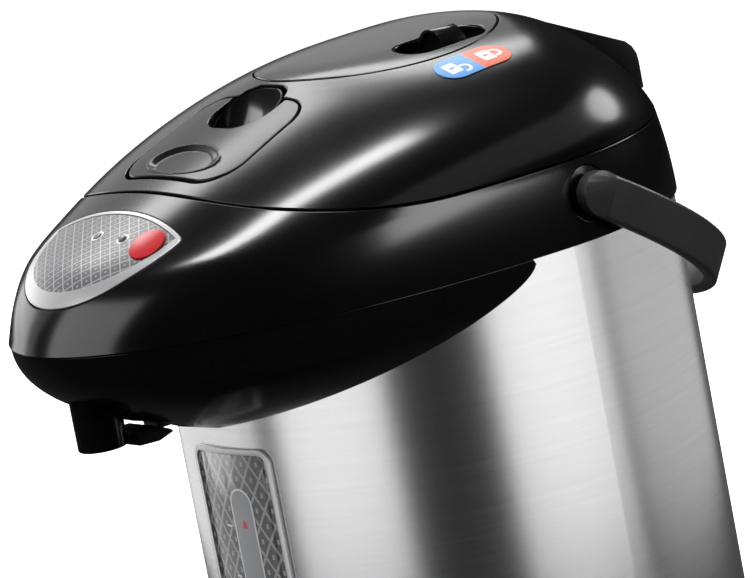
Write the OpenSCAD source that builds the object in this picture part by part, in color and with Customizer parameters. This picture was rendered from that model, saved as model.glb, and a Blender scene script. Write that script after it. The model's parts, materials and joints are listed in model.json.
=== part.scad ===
// Electric thermo pot: steel cylinder, beaked head with a domed lid, top press plate,
// finger-lift lid lever, pour button, cup lever, bail handle and swivel base.
// Frame: origin on the body axis at the table, +Z up, the beak points along -Y.

/* [Body] */
// Outer diameter of the steel body
body_d = 205; // [200:1:206]
// Height of the head's belt line, where the collar meets the steel
belt_z = 250; // [240:1:262]
// Wall of the steel body
steel_t = 1; // [0.8:0.1:1.5]
// Outer diameter of the inner tank
tank_d = 182; // [176:1:184]

/* [Head] */
// Height from the belt line to the top of the lid
head_h = 78.4; // [74:0.2:82]
// Half width of the head at the belt line
belt_r = 103.8; // [103.4:0.1:105]
// Half width of the head at the lid seam
seam_r = 100.9; // [100:0.1:102]
// Wall of the head mouldings
wall = 2.6; // [2.2:0.1:3]
// Depth of the chin under the belt line
chin_h = 47.5; // [44:0.5:50]
// Radius of the round press plate in the lid
press_r = 48; // [44:1:50]
// Gap between parts that part or slide
seam = 0.5; // [0.4:0.1:0.8]

/* [Handle] */
// Outer radius of the bail
bail_r = 110; // [109:0.5:112]
// Thickness of the bail's band
bail_t = 5.6; // [5:0.2:6]
// Width of the bail's band
bail_w = 17.2; // [16:0.2:18]
// Straight length of the bail's arms before its half ring
bail_arm = 8.9; // [7:0.1:10]
// Angle that the bail hangs below level
bail_tilt = 32; // [28:1:32]

/* [Front window] */
// Width of the level window, as an angle round the body
window_angle = 28; // [24:1:30]
// Top of the level window
window_top = 194; // [186:1:196]
// Bottom of the level window
window_bottom = 78; // [70:1:90]

/* [Quality] */
// Facets round the head mouldings
head_sides = 48; // [36:4:56]

/* [Hidden] */
$fn = 64;
body_r = body_d / 2;
seam_z = belt_z + 31.5;
apex_z = belt_z + head_h;
apex_y = 34.7;
seam_rise = 16;
seam_spread = 66;
tank_r = tank_d / 2;
tank_floor = 62;
base_top = 40;
plate_z = 7;
neck_r = 80;
neck_z = belt_z + 2;
lid_pin = [0, 99, seam_z - 2.6];
lever_pin = [0, -101, seam_z + 15.4];
cup_pin = [0, -128, belt_z - 30.5];
bail_pin = [0, 12.4, belt_z + 17.2];
bail_hole = 10.6;
button_pos = [29.5, -138.3, belt_z + 34];
button_turn = [29, 9, 0];
spout_pos = [0, -156, belt_z - 40.8];
knob_pos = [31, 9, belt_z + 73];
dish_pos = [31, 8, belt_z + 69.6];
well_y = -63.6;
well_r = 13;
inlet_z = 24;
pump_pos = [0, -38, 30];
riser_y = -96.2;

// --- Curves of the head ---------------------------------------------------------------

// How far the head reaches forward of the body axis, by height fraction above the belt
front_reach = [[0, 177.5], [0.15, 171.6], [0.32, 160.8], [0.48, 136.1], [0.64, 108.5],
  [0.78, 80.5], [0.9, 54.4], [0.97, 39.6], [1, -apex_y]];

function secant(k, i) = (k[i + 1][1] - k[i][1]) / (k[i + 1][0] - k[i][0]);
function slope(k, i) =
  i == 0 ? secant(k, 0)
  : i == len(k) - 1 ? secant(k, i - 1)
  : let (a = secant(k, i - 1), b = secant(k, i)) a * b <= 0 ? 0 : 2 * a * b / (a + b);
function span_of(k, t, i = 0) = i >= len(k) - 2 || t < k[i + 1][0] ? i : span_of(k, t, i + 1);
// Smooth curve through the knots, with no overshoot
function through(k, t) =
  let (i = span_of(k, t), h = k[i + 1][0] - k[i][0], u = (t - k[i][0]) / h)
  k[i][1] * (1 + 2 * u) * pow(1 - u, 2) + h * slope(k, i) * u * pow(1 - u, 2)
  + k[i + 1][1] * u * u * (3 - 2 * u) + h * slope(k, i + 1) * u * u * (u - 1);

function bulge(s, p, q) = pow(max(0, 1 - pow(s, p)), 1 / q);
function dome_part(z) = max(0, (z - seam_z) / (apex_z - seam_z));
function half_width(z) =
  z < seam_z ? belt_r - (belt_r - seam_r) * pow((z - belt_z) / (seam_z - belt_z), 2)
  : seam_r * bulge(dome_part(z), 2.065, 2.27);
function centre_y(z) = apex_y * pow(dome_part(z), 1.5);
function rear_reach(z) =
  z < seam_z ? half_width(z)
  : seam_r * bulge(dome_part(z), 1.223, 2.37) * (1 - centre_y(z) / seam_r);
function egg(a, front, rear, half, n) =
  let (c = cos(a), p = c > 0 ? n : 2, e = c > 0 ? front : rear)
  pow(pow(abs(c) / e, p) + pow(abs(sin(a)) / half, p), -1 / p);
// Point of the head surface at an angle from the beak and a height, drawn in by inset
function head_point(a, z, inset = 0) =
  let (t = (z - belt_z) / head_h, cy = centre_y(z),
       r = egg(a, through(front_reach, t) + cy, rear_reach(z), half_width(z), 1.96 + 0.3 * t),
       k = 1 - inset / body_r)
  [k * r * sin(a), k * (cy - r * cos(a)), belt_z + (z - belt_z) * (1 - inset / head_h)];
// Height of the seam between collar and lid, which climbs over the beak
function seam_at(a) =
  let (b = abs(a > 180 ? a - 360 : a))
  seam_z + (b < seam_spread ? seam_rise * (0.5 + 0.5 * cos(180 * b / seam_spread)) : 0);

// Angles of the head's facets, closer together round the beak
function front_angle(a) = atan2(belt_r * sin(a), front_reach[0][1] * cos(a));
function angles() = [for (i = [0:head_sides - 1]) let (a = 360 * i / head_sides)
  cos(a) > 0 ? front_angle(a) : a];
function ring_faces(a, b, n) =
  [for (i = [0:n - 1]) let (j = (i + 1) % n) each [[a + i, a + j, b + j], [a + i, b + j, b + i]]];
function cap(b, n) = [for (i = [1:n - 2]) [b, b + i, b + i + 1]];
function flip(faces) = [for (f = faces) [f[2], f[1], f[0]]];

// Skin between an outer and an inner stack of rings. A closed top is a small flat on each
module skin(outer, inner, closed_top = false) {
  n = len(outer[0]);
  m = len(outer);
  points = concat([for (r = outer) each r], [for (r = inner) each r]);
  faces = concat(
    [for (k = [0:m - 2]) each ring_faces(k * n, (k + 1) * n, n)],
    flip([for (k = [0:m - 2]) each ring_faces((m + k) * n, (m + k + 1) * n, n)]),
    flip(ring_faces(0, m * n, n)),
    closed_top ? concat(cap((m - 1) * n, n), flip(cap((2 * m - 1) * n, n)))
    : ring_faces((m - 1) * n, (2 * m - 1) * n, n));
  polyhedron(points, flip(faces), convexity = 6);
}

// Closed solid through a stack of rings, flat at both ends
module stack(rings) {
  n = len(rings[0]);
  m = len(rings);
  faces = concat(
    [for (k = [0:m - 2]) each ring_faces(k * n, (k + 1) * n, n)],
    flip(cap(0, n)), cap((m - 1) * n, n));
  polyhedron([for (r = rings) each r], flip(faces), convexity = 6);
}

// Rings of the collar from the belt up to just under the seam
function collar_rings(inset, levels = 6) =
  [for (k = [0:levels]) [for (a = angles())
    head_point(a, belt_z + (seam_at(a) - seam - belt_z) * k / levels, inset)]];
// Rings of the lid from the seam up to a small flat at the top
function lid_rings(inset, levels = 11) =
  [for (k = [0:levels]) [for (a = angles())
    let (u = 1 - pow(1 - k / levels, 1.7))
    head_point(a, seam_at(a) + (apex_z - 0.4 - seam_at(a)) * u, inset)]];

module lid_skin() { skin(lid_rings(0), lid_rings(wall), true); }
module collar_skin() { skin(collar_rings(0), collar_rings(wall)); }

// --- Plain helpers --------------------------------------------------------------------

module tube(r, t, z0, z1) {
  difference() {
    translate([0, 0, z0]) cylinder(r = r, h = z1 - z0);
    translate([0, 0, z0 - 1]) cylinder(r = r - t, h = z1 - z0 + 2);
  }
}
module disc(r, z0, z1) { translate([0, 0, z0]) cylinder(r = r, h = z1 - z0); }
// Cylinder along X, centred
module rod_x(r, length) { rotate([0, 90, 0]) cylinder(r = r, h = length, center = true); }
module block(size, at) { translate(at) cube(size, center = true); }
// Upright slab with round corners, standing on the origin
module slab(w, d, r, h) {
  linear_extrude(h) {
    square([w - 2 * r, d], center = true);
    square([w, d - 2 * r], center = true);
    for (x = [-1, 1], y = [-1, 1]) translate([x * (w / 2 - r), y * (d / 2 - r)]) circle(r, $fn = 24);
  }
}
// Slot with full round ends along Y
module slot_y(w, d, h) {
  linear_extrude(h) {
    square([w, d - w], center = true);
    for (y = [-1, 1]) translate([0, y * (d - w) / 2]) circle(w / 2, $fn = 24);
  }
}
// Screw standing on its tip, head up
module screw(r, length) {
  cylinder(r = r, h = length);
  translate([0, 0, length]) cylinder(r = 2 * r, h = r);
}
// Wound spring as one unbroken tube, z from 0 to height
module coil(r, wire, turns, height, steps = 14, sides = 6) {
  count = turns * steps;
  rings = [for (i = [0:count]) let (a = 360 * i / steps, z = wire + (height - 2 * wire) * i / count)
    [for (j = [0:sides - 1]) let (b = -360 * j / sides, q = r + wire * cos(b))
      [q * cos(a), q * sin(a), z + wire * sin(b)]]];
  mirror([0, 1, 0]) stack(rings);
}
// Bent hose along way points, its corners cut round
module hose(points, r, bore) {
  path = cut_corners(cut_corners(points));
  skin(path_rings(path, r), path_rings(path, bore));
}
function cut_corners(p) = concat([p[0]],
  [for (i = [0:len(p) - 2]) each [p[i] * 0.75 + p[i + 1] * 0.25, p[i] * 0.25 + p[i + 1] * 0.75]],
  [p[len(p) - 1]]);
function path_rings(p, r, sides = 14) =
  [for (i = [0:len(p) - 1]) let (d = p[min(i + 1, len(p) - 1)] - p[max(i - 1, 0)], t = d / norm(d),
    c = cross(t, [1, 0, 0]), u = c / norm(c), v = cross(t, u))
    [for (j = [0:sides - 1]) p[i] + r * (cos(360 * j / sides) * u + sin(360 * j / sides) * v)]];

// --- Swivel base ----------------------------------------------------------------------

module turntable() color("dimgray") {
  difference() {
    union() {
      disc(84, 0, 4.5);
      disc(15.95, 0, 12);
      tube(78, 6, 4, 6.4);
    }
    foot_places() translate([0, 0, -1]) cylinder(r = 8, h = 3);
    translate([0, 0, 4]) cylinder(r = 2, h = 9);
  }
}
module foot_places() { for (i = [0:3]) rotate([0, 0, 45 + 90 * i]) translate([66, 0, 0]) children(); }
module foot_pads() color("black") foot_places() cylinder(r = 7.95, h = 1.98);
module swivel_retainer() color("silver") translate([0, 0, 12.05]) {
  difference() {
    cylinder(r = 21, h = 1.6);
    translate([0, 0, -1]) cylinder(r = 2.1, h = 4);
  }
  translate([0, 0, 1.65]) cylinder(r = 4, h = 2);
  translate([0, 0, -6]) cylinder(r = 1.95, h = 7.7);
}
module bottom_plate() color("dimgray") {
  difference() {
    union() {
      disc(99.6, plate_z, plate_z + 2.4);
      disc(20, plate_z, plate_z + 4.5);
    }
    translate([0, 0, plate_z - 1]) cylinder(r = 16, h = 8);
    screw_places() translate([0, 0, plate_z - 1]) cylinder(r = 1.7, h = 5);
  }
}
module screw_places() { for (i = [0:3]) rotate([0, 0, 20 + 90 * i]) translate([92, 0, 0]) children(); }
module base_screws() color("silver") screw_places()
  translate([0, 0, plate_z + 9]) mirror([0, 0, 1]) {
    cylinder(r = 1.6, h = 9);
    translate([0, 0, 9]) cylinder(r = 3, h = 1.2);
  }
module base_ring() color("black") {
  difference() {
    rotate_extrude($fn = 96) polygon([[99.8, plate_z], [102.6, plate_z], [104, plate_z + 1.6],
      [104, base_top - 1.2], [103.4, base_top], [101.2, base_top], [101.2, plate_z + 3],
      [99.8, plate_z + 3]]);
    block([40.6, 20, 24.6], [0, body_r, inlet_z]);
  }
  screw_places() translate([0, 0, plate_z + 2.5]) difference() {
    union() {
      cylinder(r = 4, h = 10);
      translate([3, -1, 0]) cube([6.4, 2, 10]);
    }
    translate([0, 0, -1]) cylinder(r = 1.62, h = 8);
  }
}

// --- Body, tank and heating -------------------------------------------------------------

module outer_shell() color("silver") difference() {
  tube(body_r, steel_t, base_top + 0.1, belt_z - 0.2, $fn = 96);
  gauge_slot(12.6, 12);
}
module neck_ring() color("black") difference() {
  rotate_extrude($fn = 96) polygon([[neck_r, belt_z - 4], [tank_r - 4, belt_z - 4],
    [tank_r - 4, belt_z - 0.5], [body_r - steel_t - 1, belt_z - 0.5], [body_r - steel_t - 1, neck_z],
    [neck_r + 4, neck_z], [neck_r + 3.2, neck_z + 1.4], [neck_r + 1.6, neck_z + 1.4],
    [neck_r, neck_z]]);
  block([16, 16, 20], [0, riser_y, belt_z]);
}
module inner_tank() color("lightgray") difference() {
  union() {
    disc(tank_r, tank_floor, belt_z - 4.05);
    disc(tank_r + 3, belt_z - 6, belt_z - 4.05);
  }
  disc(tank_r - 1.2, tank_floor + 1.6, belt_z);
  translate([0, -38, tank_floor - 1]) cylinder(r = 6, h = 4);
  block([30, 20, 6], [0, -tank_r - 10.4, belt_z - 5]);
}
module heater_plate() color("gray") difference() {
  disc(70, tank_floor - 6.1, tank_floor - 0.1);
  translate([0, -38, tank_floor - 8]) cylinder(r = 12, h = 10);
  translate([34, 20, tank_floor - 7]) cylinder(r = 9, h = 3);
}
module heater_band() color("saddlebrown") difference() {
  tube(tank_r + 1.7, 1.6, 74, 112, $fn = 96);
  block([24, 20, 60], [0, -tank_r, 93]);
}
module thermostat() color("gainsboro") translate([34, 20, tank_floor - 14]) {
  cylinder(r = 8.5, h = 9.8);
  for (x = [-1, 1]) block([1.2, 5, 9], [x * 4, 0, -4]);
}
module thermal_fuse() color("ivory") translate([-30, 26, tank_floor - 8.2]) {
  rod_x(2, 14);
  rod_x(0.7, 34);
}

// --- Pump and water path ----------------------------------------------------------------

module pump_motor() color("gray") translate([pump_pos[0], pump_pos[1], 0]) difference() {
  union() {
    disc(15, 9.5, 25);
    disc(4, 24.6, 26.4);
  }
  translate([0, 0, 10.5]) cylinder(r = 1.05, h = 18);
}
module drive_magnet() color("dimgray") translate([pump_pos[0], pump_pos[1], 0]) {
  disc(1, 11, 28);
  disc(9, 27, 30);
}
module pump_housing() color("white") translate([pump_pos[0], pump_pos[1], 0]) difference() {
  union() {
    disc(16, 31, 45);
    tube(16, 1.5, 25.1, 32);
    disc(6, 44, 50);
    translate([-10, -13, 38]) rotate([90, 0, 0]) cylinder(r = 4.5, h = 12);
  }
  disc(14, 32.4, 43.2);
  disc(4, 43, 51);
  translate([-10, -8, 38]) rotate([90, 0, 0]) cylinder(r = 3, h = 18);
}
module impeller() color("royalblue") translate([pump_pos[0], pump_pos[1], 0]) {
  disc(12, 33.2, 35);
  disc(2.2, 33.2, 41);
  for (i = [0:5]) rotate([0, 0, 60 * i]) translate([0, 0, 34.8]) linear_extrude(6.2) intersection() {
    translate([0, 5.4]) difference() {
      circle(6.4, $fn = 32);
      circle(5.4, $fn = 32);
    }
    translate([0, -2]) square([12, 13]);
  }
}
module suction_hose() color("whitesmoke") translate([pump_pos[0], pump_pos[1], 0])
  tube(7.2, 1.1, 45.1, tank_floor - 0.1);
module delivery_hose() color("whitesmoke")
  hose([[-10, -63.2, 38], [-10, riser_y + 8, 38], [0, riser_y, 44], [0, riser_y, 60]], 4.4, 3);
module level_tube() color("lightcyan") translate([0, riser_y, 0]) difference() {
  disc(4.2, 60.2, belt_z + 6);
  disc(3, 59, belt_z + 7);
}
module outlet_hose() color("whitesmoke")
  hose([[0, riser_y, belt_z + 6.2], [0, riser_y - 1, belt_z + 14], [0, riser_y - 24, belt_z + 20],
        [0, spout_pos[1] + 3, belt_z + 2], [0, spout_pos[1], belt_z - 10],
        [0, spout_pos[1], belt_z - 17.4]], 5, 3.4);

// Part of a thin cylinder wall behind an upright rectangle with round corners
module window_sector(r, t, rim, corner) {
  w = 2 * body_r * sin(window_angle / 2) - 2 * rim;
  h = window_top - window_bottom - 2 * rim;
  intersection() {
    tube(r, t, window_bottom - 5, window_top + 5, $fn = 96);
    translate([0, -body_r + 30, (window_top + window_bottom) / 2]) rotate([90, 0, 0])
      linear_extrude(60) {
        square([w, h - 2 * corner], center = true);
        square([w - 2 * corner, h], center = true);
        for (x = [-1, 1], y = [-1, 1])
          translate([x * (w / 2 - corner), y * (h / 2 - corner)]) circle(corner, $fn = 32);
      }
  }
}
module window_panel() color("darkslategray") window_sector(body_r + 0.9, 0.8, 2.3, 4);
module window_frame() color("silver") difference() {
  window_sector(body_r + 1.4, 1.3, 0, 6);
  window_sector(body_r + 2, 3, 2.2, 4);
}
// Upright slot with round ends through the front wall, just beside the middle
module gauge_slot(w, depth) {
  z1 = window_top - 16.5 - w / 2;
  z0 = window_bottom + 16 + w / 2;
  translate([2.6, -body_r + depth / 2, 0]) rotate([90, 0, 0]) linear_extrude(depth) {
    translate([-w / 2, z0]) square([w, z1 - z0]);
    translate([0, z0]) circle(w / 2);
    translate([0, z1]) circle(w / 2);
  }
}

// --- Head housing -----------------------------------------------------------------------

// Outline of the control panel seen from above: a half disc, bowed a little at the rear
module panel_outline(grow = 0) {
  offset(r = grow + 2.5) offset(delta = -2.5) intersection() {
    translate([0, -126.2]) circle(42.6, $fn = 64);
    translate([0, -296]) circle(170.4, $fn = 128);
  }
}
module panel_column(grow) { translate([0, 0, belt_z]) linear_extrude(80) panel_outline(grow); }
// The frame round the panel is widest at its front
module face_column(grow) { translate([0, 1.3, 0]) panel_column(grow - 3.1); }

module collar() color("black") difference() {
  collar_skin();
  panel_column(0.2);
  block([54, 40, 30], [0, 104, belt_z + 35]);
  for (x = [-1, 1]) translate([x * (body_r + 1), bail_pin[1], bail_pin[2]]) rod_x(bail_hole, 14);
}
function chin_ring(depth, inset) =
  let (k = min(0.999, depth / chin_h), half = (belt_r - 2 - inset) * bulge(k, 2.2, 2.2),
       reach = body_r + 1.5 + (72.4 - inset) * (1 - pow(k, 2.2)), n = head_sides / 2)
  [for (i = [0:n]) let (a = front_angle(89.99 * (2 * i / n - 1)), r = egg(a, reach, reach, half, 2))
    [r * sin(a), -r * cos(a), belt_z - 0.3 - depth]];
function chin_rings(inset, levels = 8) =
  [for (k = [levels:-1:0]) chin_ring((chin_h - inset) * (1 - pow(1 - k / levels, 1.5)), inset)];
module chin_cover() color("black") difference() {
  union() {
    difference() {
      stack(chin_rings(0));
      translate([0, 0, 0.05]) stack(chin_rings(wall));
    }
    intersection() {
      stack(chin_rings(0.4));
      for (x = [-1, 1]) block([3, 10, 40], [x * 14.6, cup_pin[1], cup_pin[2] - 12.6]);
    }
  }
  translate([0, 0, belt_z - 60]) cylinder(r = body_r + 0.2, h = 70, $fn = 96);
  block([260, 60, 120], [0, 12, belt_z - 40]);
  translate(spout_pos) cylinder(r = 9.6, h = 40);
  block([22, 20, 24], cup_pin - [0, 3, 4]);
  translate(cup_pin) rod_x(1.5, 60);
}
module spout() color("black") translate(spout_pos) difference() {
  cylinder(r = 9.5, h = 23.3);
  translate([0, 0, -1]) cylinder(r = 4, h = 26);
  translate([0, 0, -1]) cylinder(r1 = 6.6, r2 = 4, h = 4);
}

// Lever behind the spout that a cup pushes back: a flat wedge close under the chin
module cup_lever() color("black") translate(cup_pin) difference() {
  union() {
    rod_x(4, 19);
    block([10, 8, 9], [0, -1.5, -4.5]);
    rotate([90, 0, 90]) translate([0, 0, -9.5]) linear_extrude(19) polygon([[-17.8, -11.9],
      [-8.7, -12.4], [-1.8, -10.5], [-3.2, -9.2], [-9, -6.6], [-17.8, -6.6]]);
  }
  rod_x(1.55, 40);
}
module cup_lever_pin() color("silver") translate(cup_pin) rod_x(1.5, 32.2);
module cup_switch() color("dimgray") translate(cup_pin + [0, 0, 11.4]) {
  block([14, 8, 8], [0, 0, 0]);
  block([32.2, 8, 2], [0, 0, -2.8]);
  block([3, 3, 1.6], [0, 0, -4.7]);
}

// --- Control panel -----------------------------------------------------------------------

module button_frame() { translate(button_pos) rotate(button_turn) children(); }
module lens_places() {
  for (x = [-2, 14.6]) translate([x, -139, belt_z + 36]) rotate([29, x * 0.3, 0]) children();
}
module panel_face() color("gray") difference() {
  intersection() {
    collar_skin();
    face_column(-0.1);
  }
  button_frame() cylinder(r = 7.9, h = 30, center = true);
  lens_places() cylinder(r = 1.6, h = 30, center = true);
}
module panel_frame() color("silver") difference() {
  intersection() {
    collar_skin();
    panel_column(0);
  }
  face_column(0);
}
module indicator_lenses() color("white") lens_places() translate([0, 0, -3.4]) cylinder(r = 1.5, h = 4.2);
module pour_button() color("red") button_frame() {
  translate([0, 0, -4.4]) cylinder(r = 7.5, h = 5.2);
  translate([0, 0, -6]) cylinder(r = 9.4, h = 1.6);
}
module control_board() color("darkgreen") translate([0, -141, belt_z + 17]) rotate([29, 0, 0]) {
  slab(66, 24, 3, 1.6);
  translate([29, 2, 1.6]) slab(6, 6, 1, 4.2);
  for (x = [-2, 14.6]) translate([x, 2, 1.6]) cylinder(r = 1.5, h = 2.4);
}

// --- Power -------------------------------------------------------------------------------

module power_board() color("darkgreen") translate([0, 52, 24]) {
  slab(70, 36, 3, 1.6);
  translate([-18, 0, 1.6]) cylinder(r = 7, h = 12);
  translate([12, 0, 1.6]) slab(26, 22, 2, 14);
  for (x = [-30, 30], y = [-13, 13]) translate([x, y, plate_z + 2.5 - 24])
    cylinder(r = 2.5, h = 24 - plate_z - 2.4);
}
module power_inlet() color("black") difference() {
  intersection() {
    block([40, 30, 24], [0, body_r - 9.5, inlet_z]);
    disc(body_r + 2, 0, 60);
  }
  block([32, 24, 16], [0, body_r - 4, inlet_z]);
  pin_places() cylinder(r = 2.22, h = 10);
}
module pin_places() {
  for (x = [-9, 9]) translate([x, body_r - 22.2, inlet_z]) rotate([-90, 0, 0]) children();
}
module inlet_pins() color("gold") pin_places() cylinder(r = 2.2, h = 17);

// --- Lid hinge and bail --------------------------------------------------------------------

module hinge_bracket() color("black") difference() {
  union() {
    for (x = [-1, 1]) translate([x * 21, 0, 0]) {
      translate(lid_pin) rod_x(3.6, 6);
      block([6, 7.2, 9], lid_pin - [0, 0, 4.5]);
    }
    intersection() {
      block([53, 17, 3], [0, lid_pin[1] - 4.5, belt_z + 21.9]);
      disc(belt_r - 1.6, belt_z, apex_z);
    }
    block([48, 5, 19], [0, lid_pin[1] - 10.5, belt_z + 11.6]);
  }
  translate(lid_pin) rod_x(2, 60);
}
module hinge_pin() color("silver") translate(lid_pin) rod_x(2, 49);
// Round seats in the collar's sides, each on a post from the neck ring, with the bail's stud
module bail_pivots() color("black") for (x = [-1, 1]) {
  translate([x * (body_r - 4.3), bail_pin[1], bail_pin[2]]) rod_x(bail_hole - 0.4, 3);
  block([3, 14, 10], [x * 96.6, bail_pin[1], neck_z + 5.05]);
  translate([x * (body_r + 1.2), bail_pin[1], bail_pin[2]]) rod_x(2, 8.4);
}

module bail_handle() color("black") translate(bail_pin) rotate([-bail_tilt, 0, 0]) difference() {
  union() {
    translate([0, bail_arm, 0]) rotate_extrude(angle = 180, $fn = 96) bail_section();
    for (x = [0, 1]) mirror([x, 0, 0]) translate([0, bail_arm, 0]) rotate([90, 0, 0])
      linear_extrude(bail_arm) bail_section();
    for (x = [-1, 1]) translate([x * (bail_r - bail_t / 2), 0, 0]) rod_x(bail_w / 2, bail_t);
    for (x = [-1, 1]) translate([x * (body_r - 0.1), 0, 0]) rod_x(4.4, 4.6);
  }
  for (x = [-1, 1]) translate([x * body_r, 0, 0]) rod_x(2.05, 12);
}
module bail_section() {
  r = 1.6;
  translate([bail_r - bail_t / 2, 0]) union() {
    square([bail_t, bail_w - 2 * r], center = true);
    square([bail_t - 2 * r, bail_w], center = true);
    for (x = [-1, 1], y = [-1, 1])
      translate([x * (bail_t / 2 - r), y * (bail_w / 2 - r)]) circle(r, $fn = 16);
  }
}

// --- Lid -----------------------------------------------------------------------------------

module lever_outline(grow = 0) {
  offset(r = grow) difference() {
    hull() {
      for (x = [-1, 1]) translate([x * 20, -91]) circle(15.4, $fn = 48);
      for (x = [-1, 1]) translate([x * 20.5, -69]) circle(12, $fn = 32);
    }
    well_outline(0.3);
    translate([-17, -63]) square([34, 20]);
  }
}
// Outline of the finger well: two round ends side by side
module well_outline(grow = 0) {
  hull() for (x = [-1, 1]) translate([x * 3.6, well_y]) circle(well_r + grow, $fn = 48);
}
module lid_shell() color("black") difference() {
  lid_skin();
  translate([0, 0, seam_z]) cylinder(r = press_r + 0.4, h = 60, $fn = 96);
  for (y = [0, -0.8]) translate([0, y, seam_z]) linear_extrude(60) lever_outline(0.6);
  translate([0, 0, seam_z]) linear_extrude(60) well_outline();
  hood_form(50.8, 0.4);
  block([50.8, 20, 8], [0, 100, seam_z]);
}
// The vent hood's outline from the side, drawn out along X
module hood_form(width, grow) {
  rotate([90, 0, 90]) translate([0, 0, -width / 2]) linear_extrude(width)
    polygon([[61 - grow, apex_z - 13 - grow], [61 - grow, apex_z - 7.9 + grow],
      [99.4, seam_z + 21.3 + grow], [102.2 + grow, seam_z + 18.7 + grow],
      [103.9 + grow, seam_z + 15.5], [104.3 + grow, seam_z + 12],
      [104.3 + grow, seam_z + 1.6 - grow], [98 - grow, seam_z + 1.6 - grow],
      [91 - grow, seam_z + 9], [81 - grow, seam_z + 19], [69 - grow, seam_z + 28.5]]);
}
module vent_hood() color("dimgray") difference() {
  union() {
    hood_form(50, 0);
    translate(lid_pin) rod_x(3.6, 34);
    block([34, 4, 6], [0, lid_pin[1] + 0.8, lid_pin[2] + 3]);
  }
  translate(lid_pin) rod_x(2.05, 60);
  for (x = [-14:4:14]) block([1.6, 8, 7], [x, 104.2, seam_z + 10]);
}
// Pocket for a fingertip, reaching forward under the lever's rear edge
module finger_well() color("black") difference() {
  translate([0, 0, seam_z + 14]) linear_extrude(24.4) pocket_outline(1.8);
  translate([0, 0, seam_z + 16.4]) linear_extrude(40) pocket_outline();
  cylinder(r = press_r + 0.5, h = 400, $fn = 96);
  translate([0, -68.2, seam_z + 30.4]) rotate([20.6, 0, 0]) block([60, 90, 30], [0, 0, 15]);
}
module pocket_outline(grow = 0) {
  well_outline(grow);
  translate([0, -8]) well_outline(grow);
  translate([-3.6 - well_r - grow, well_y - 8]) square([2 * (3.6 + well_r + grow), 8]);
}
module lid_chassis() color("dimgray") difference() {
  union() {
    tube(78, 3, neck_z + 6, seam_z + 4);
    disc(78, neck_z + 6, neck_z + 9);
    difference() {
      disc(96.5, seam_z + 0.6, seam_z + 3);
      disc(76, seam_z, seam_z + 4);
      block([52, 40, 10], [0, 110, seam_z]);
    }
    block([40, 32, 2.4], [0, -93, seam_z + 1.8]);
    for (x = [-1, 1]) translate([x * 17.5, lever_pin[1], lever_pin[2]]) {
      rod_x(2.4, 4);
      block([4, 4.8, 14], [0, 0, -7]);
    }
  }
  translate(lever_pin) rod_x(1.3, 60);
  disc(30, neck_z, neck_z + 20);
}
module inner_cover() color("silver") difference() {
  union() {
    disc(76, neck_z + 3.2, neck_z + 5.9);
    disc(22, neck_z - 4, neck_z + 5.9);
  }
  disc(12, neck_z - 5, neck_z + 7);
  for (i = [0:7]) rotate([0, 0, 45 * i]) translate([50, 0, neck_z + 2]) cylinder(r = 2, h = 5);
}
module lid_gasket() color("lightgray") difference() {
  disc(neck_r + 3.4, neck_z + 1.8, neck_z + 5.9);
  disc(76.1, neck_z + 1, neck_z + 7);
}
module steam_cap() color("white") translate([0, 56, 0]) difference() {
  disc(12, neck_z + 9.1, neck_z + 18);
  disc(9, neck_z + 9, neck_z + 15.5);
}
module release_lever() color("black") difference() {
  union() {
    intersection() {
      lid_skin();
      translate([0, 0, seam_z]) linear_extrude(60) lever_outline();
    }
    translate(lever_pin) rod_x(3.4, 14);
    block([12, 3, 5], lever_pin + [0, 0, 3]);
    block([4, 2.4, 9], lever_pin - [0, 0, 7]);
  }
  translate(lever_pin) rod_x(1.35, 60);
}
module lever_hinge_pin() color("silver") translate(lever_pin) rod_x(1.3, 39);
module lever_spring() color("silver") 
  translate(lever_pin + [14.4, 0, 0]) rotate([0, -90, 0]) coil(2.4, 0.45, 4, 6);
module latch_bolt() color("dimgray") difference() {
  block([14, 28, 3], [0, -100.4, seam_z + 4.8]);
  block([5, 6, 8], [0, lever_pin[1], seam_z + 4.8]);
}
module latch_keeper() color("dimgray") difference() {
  block([30, 2, 17.6], [0, -117, seam_z + 2.1]);
  block([16, 10, 6], [0, -117, seam_z + 4.8]);
}

// --- Manual pump ---------------------------------------------------------------------------

module press_plate() color("black") difference() {
  union() {
    intersection() {
      lid_skin();
      translate([0, 0, seam_z]) cylinder(r = press_r, h = 60, $fn = 96);
    }
    tube(18.9, 5, apex_z - 5.9, apex_z - 2.2);
    intersection() {
      translate(dish_pos) slab(23, 43, 11, 12);
      translate(dish_pos + [0, 0, 5.35]) rotate([0, 6.4, 0]) block([60, 80, 30], [0, 0, -15]);
    }
  }
  translate(dish_pos + [0, 0, 2.4]) slab(19, 39, 9, 40);
  translate(dish_pos - [0, 0, 10]) slot_y(8.4, 28, 40);
}
module bellows() color("ivory") {
  n = 6;
  z0 = neck_z + 14;
  p = (apex_z - 6 - z0) / n;
  rotate_extrude() polygon(concat(
    [for (i = [0:n]) each [[16, z0 + i * p], if (i < n) [20.2, z0 + (i + 0.5) * p]]],
    [for (i = [n:-1:0]) each [[14.6, z0 + i * p], if (i > 0) [18.8, z0 + (i - 0.5) * p]]]));
}
module bellows_seat() color("white") difference() {
  union() {
    disc(29.8, neck_z + 6, neck_z + 9);
    tube(20.4, 6.6, neck_z + 8.9, neck_z + 13.9);
    disc(11.8, neck_z - 3, neck_z + 6.1);
  }
  disc(8, neck_z - 4, neck_z + 15);
}
module press_spring() color("silver") translate([0, 0, neck_z + 9.2])
  coil(12, 0.9, 6, apex_z - neck_z - 15.2);
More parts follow.
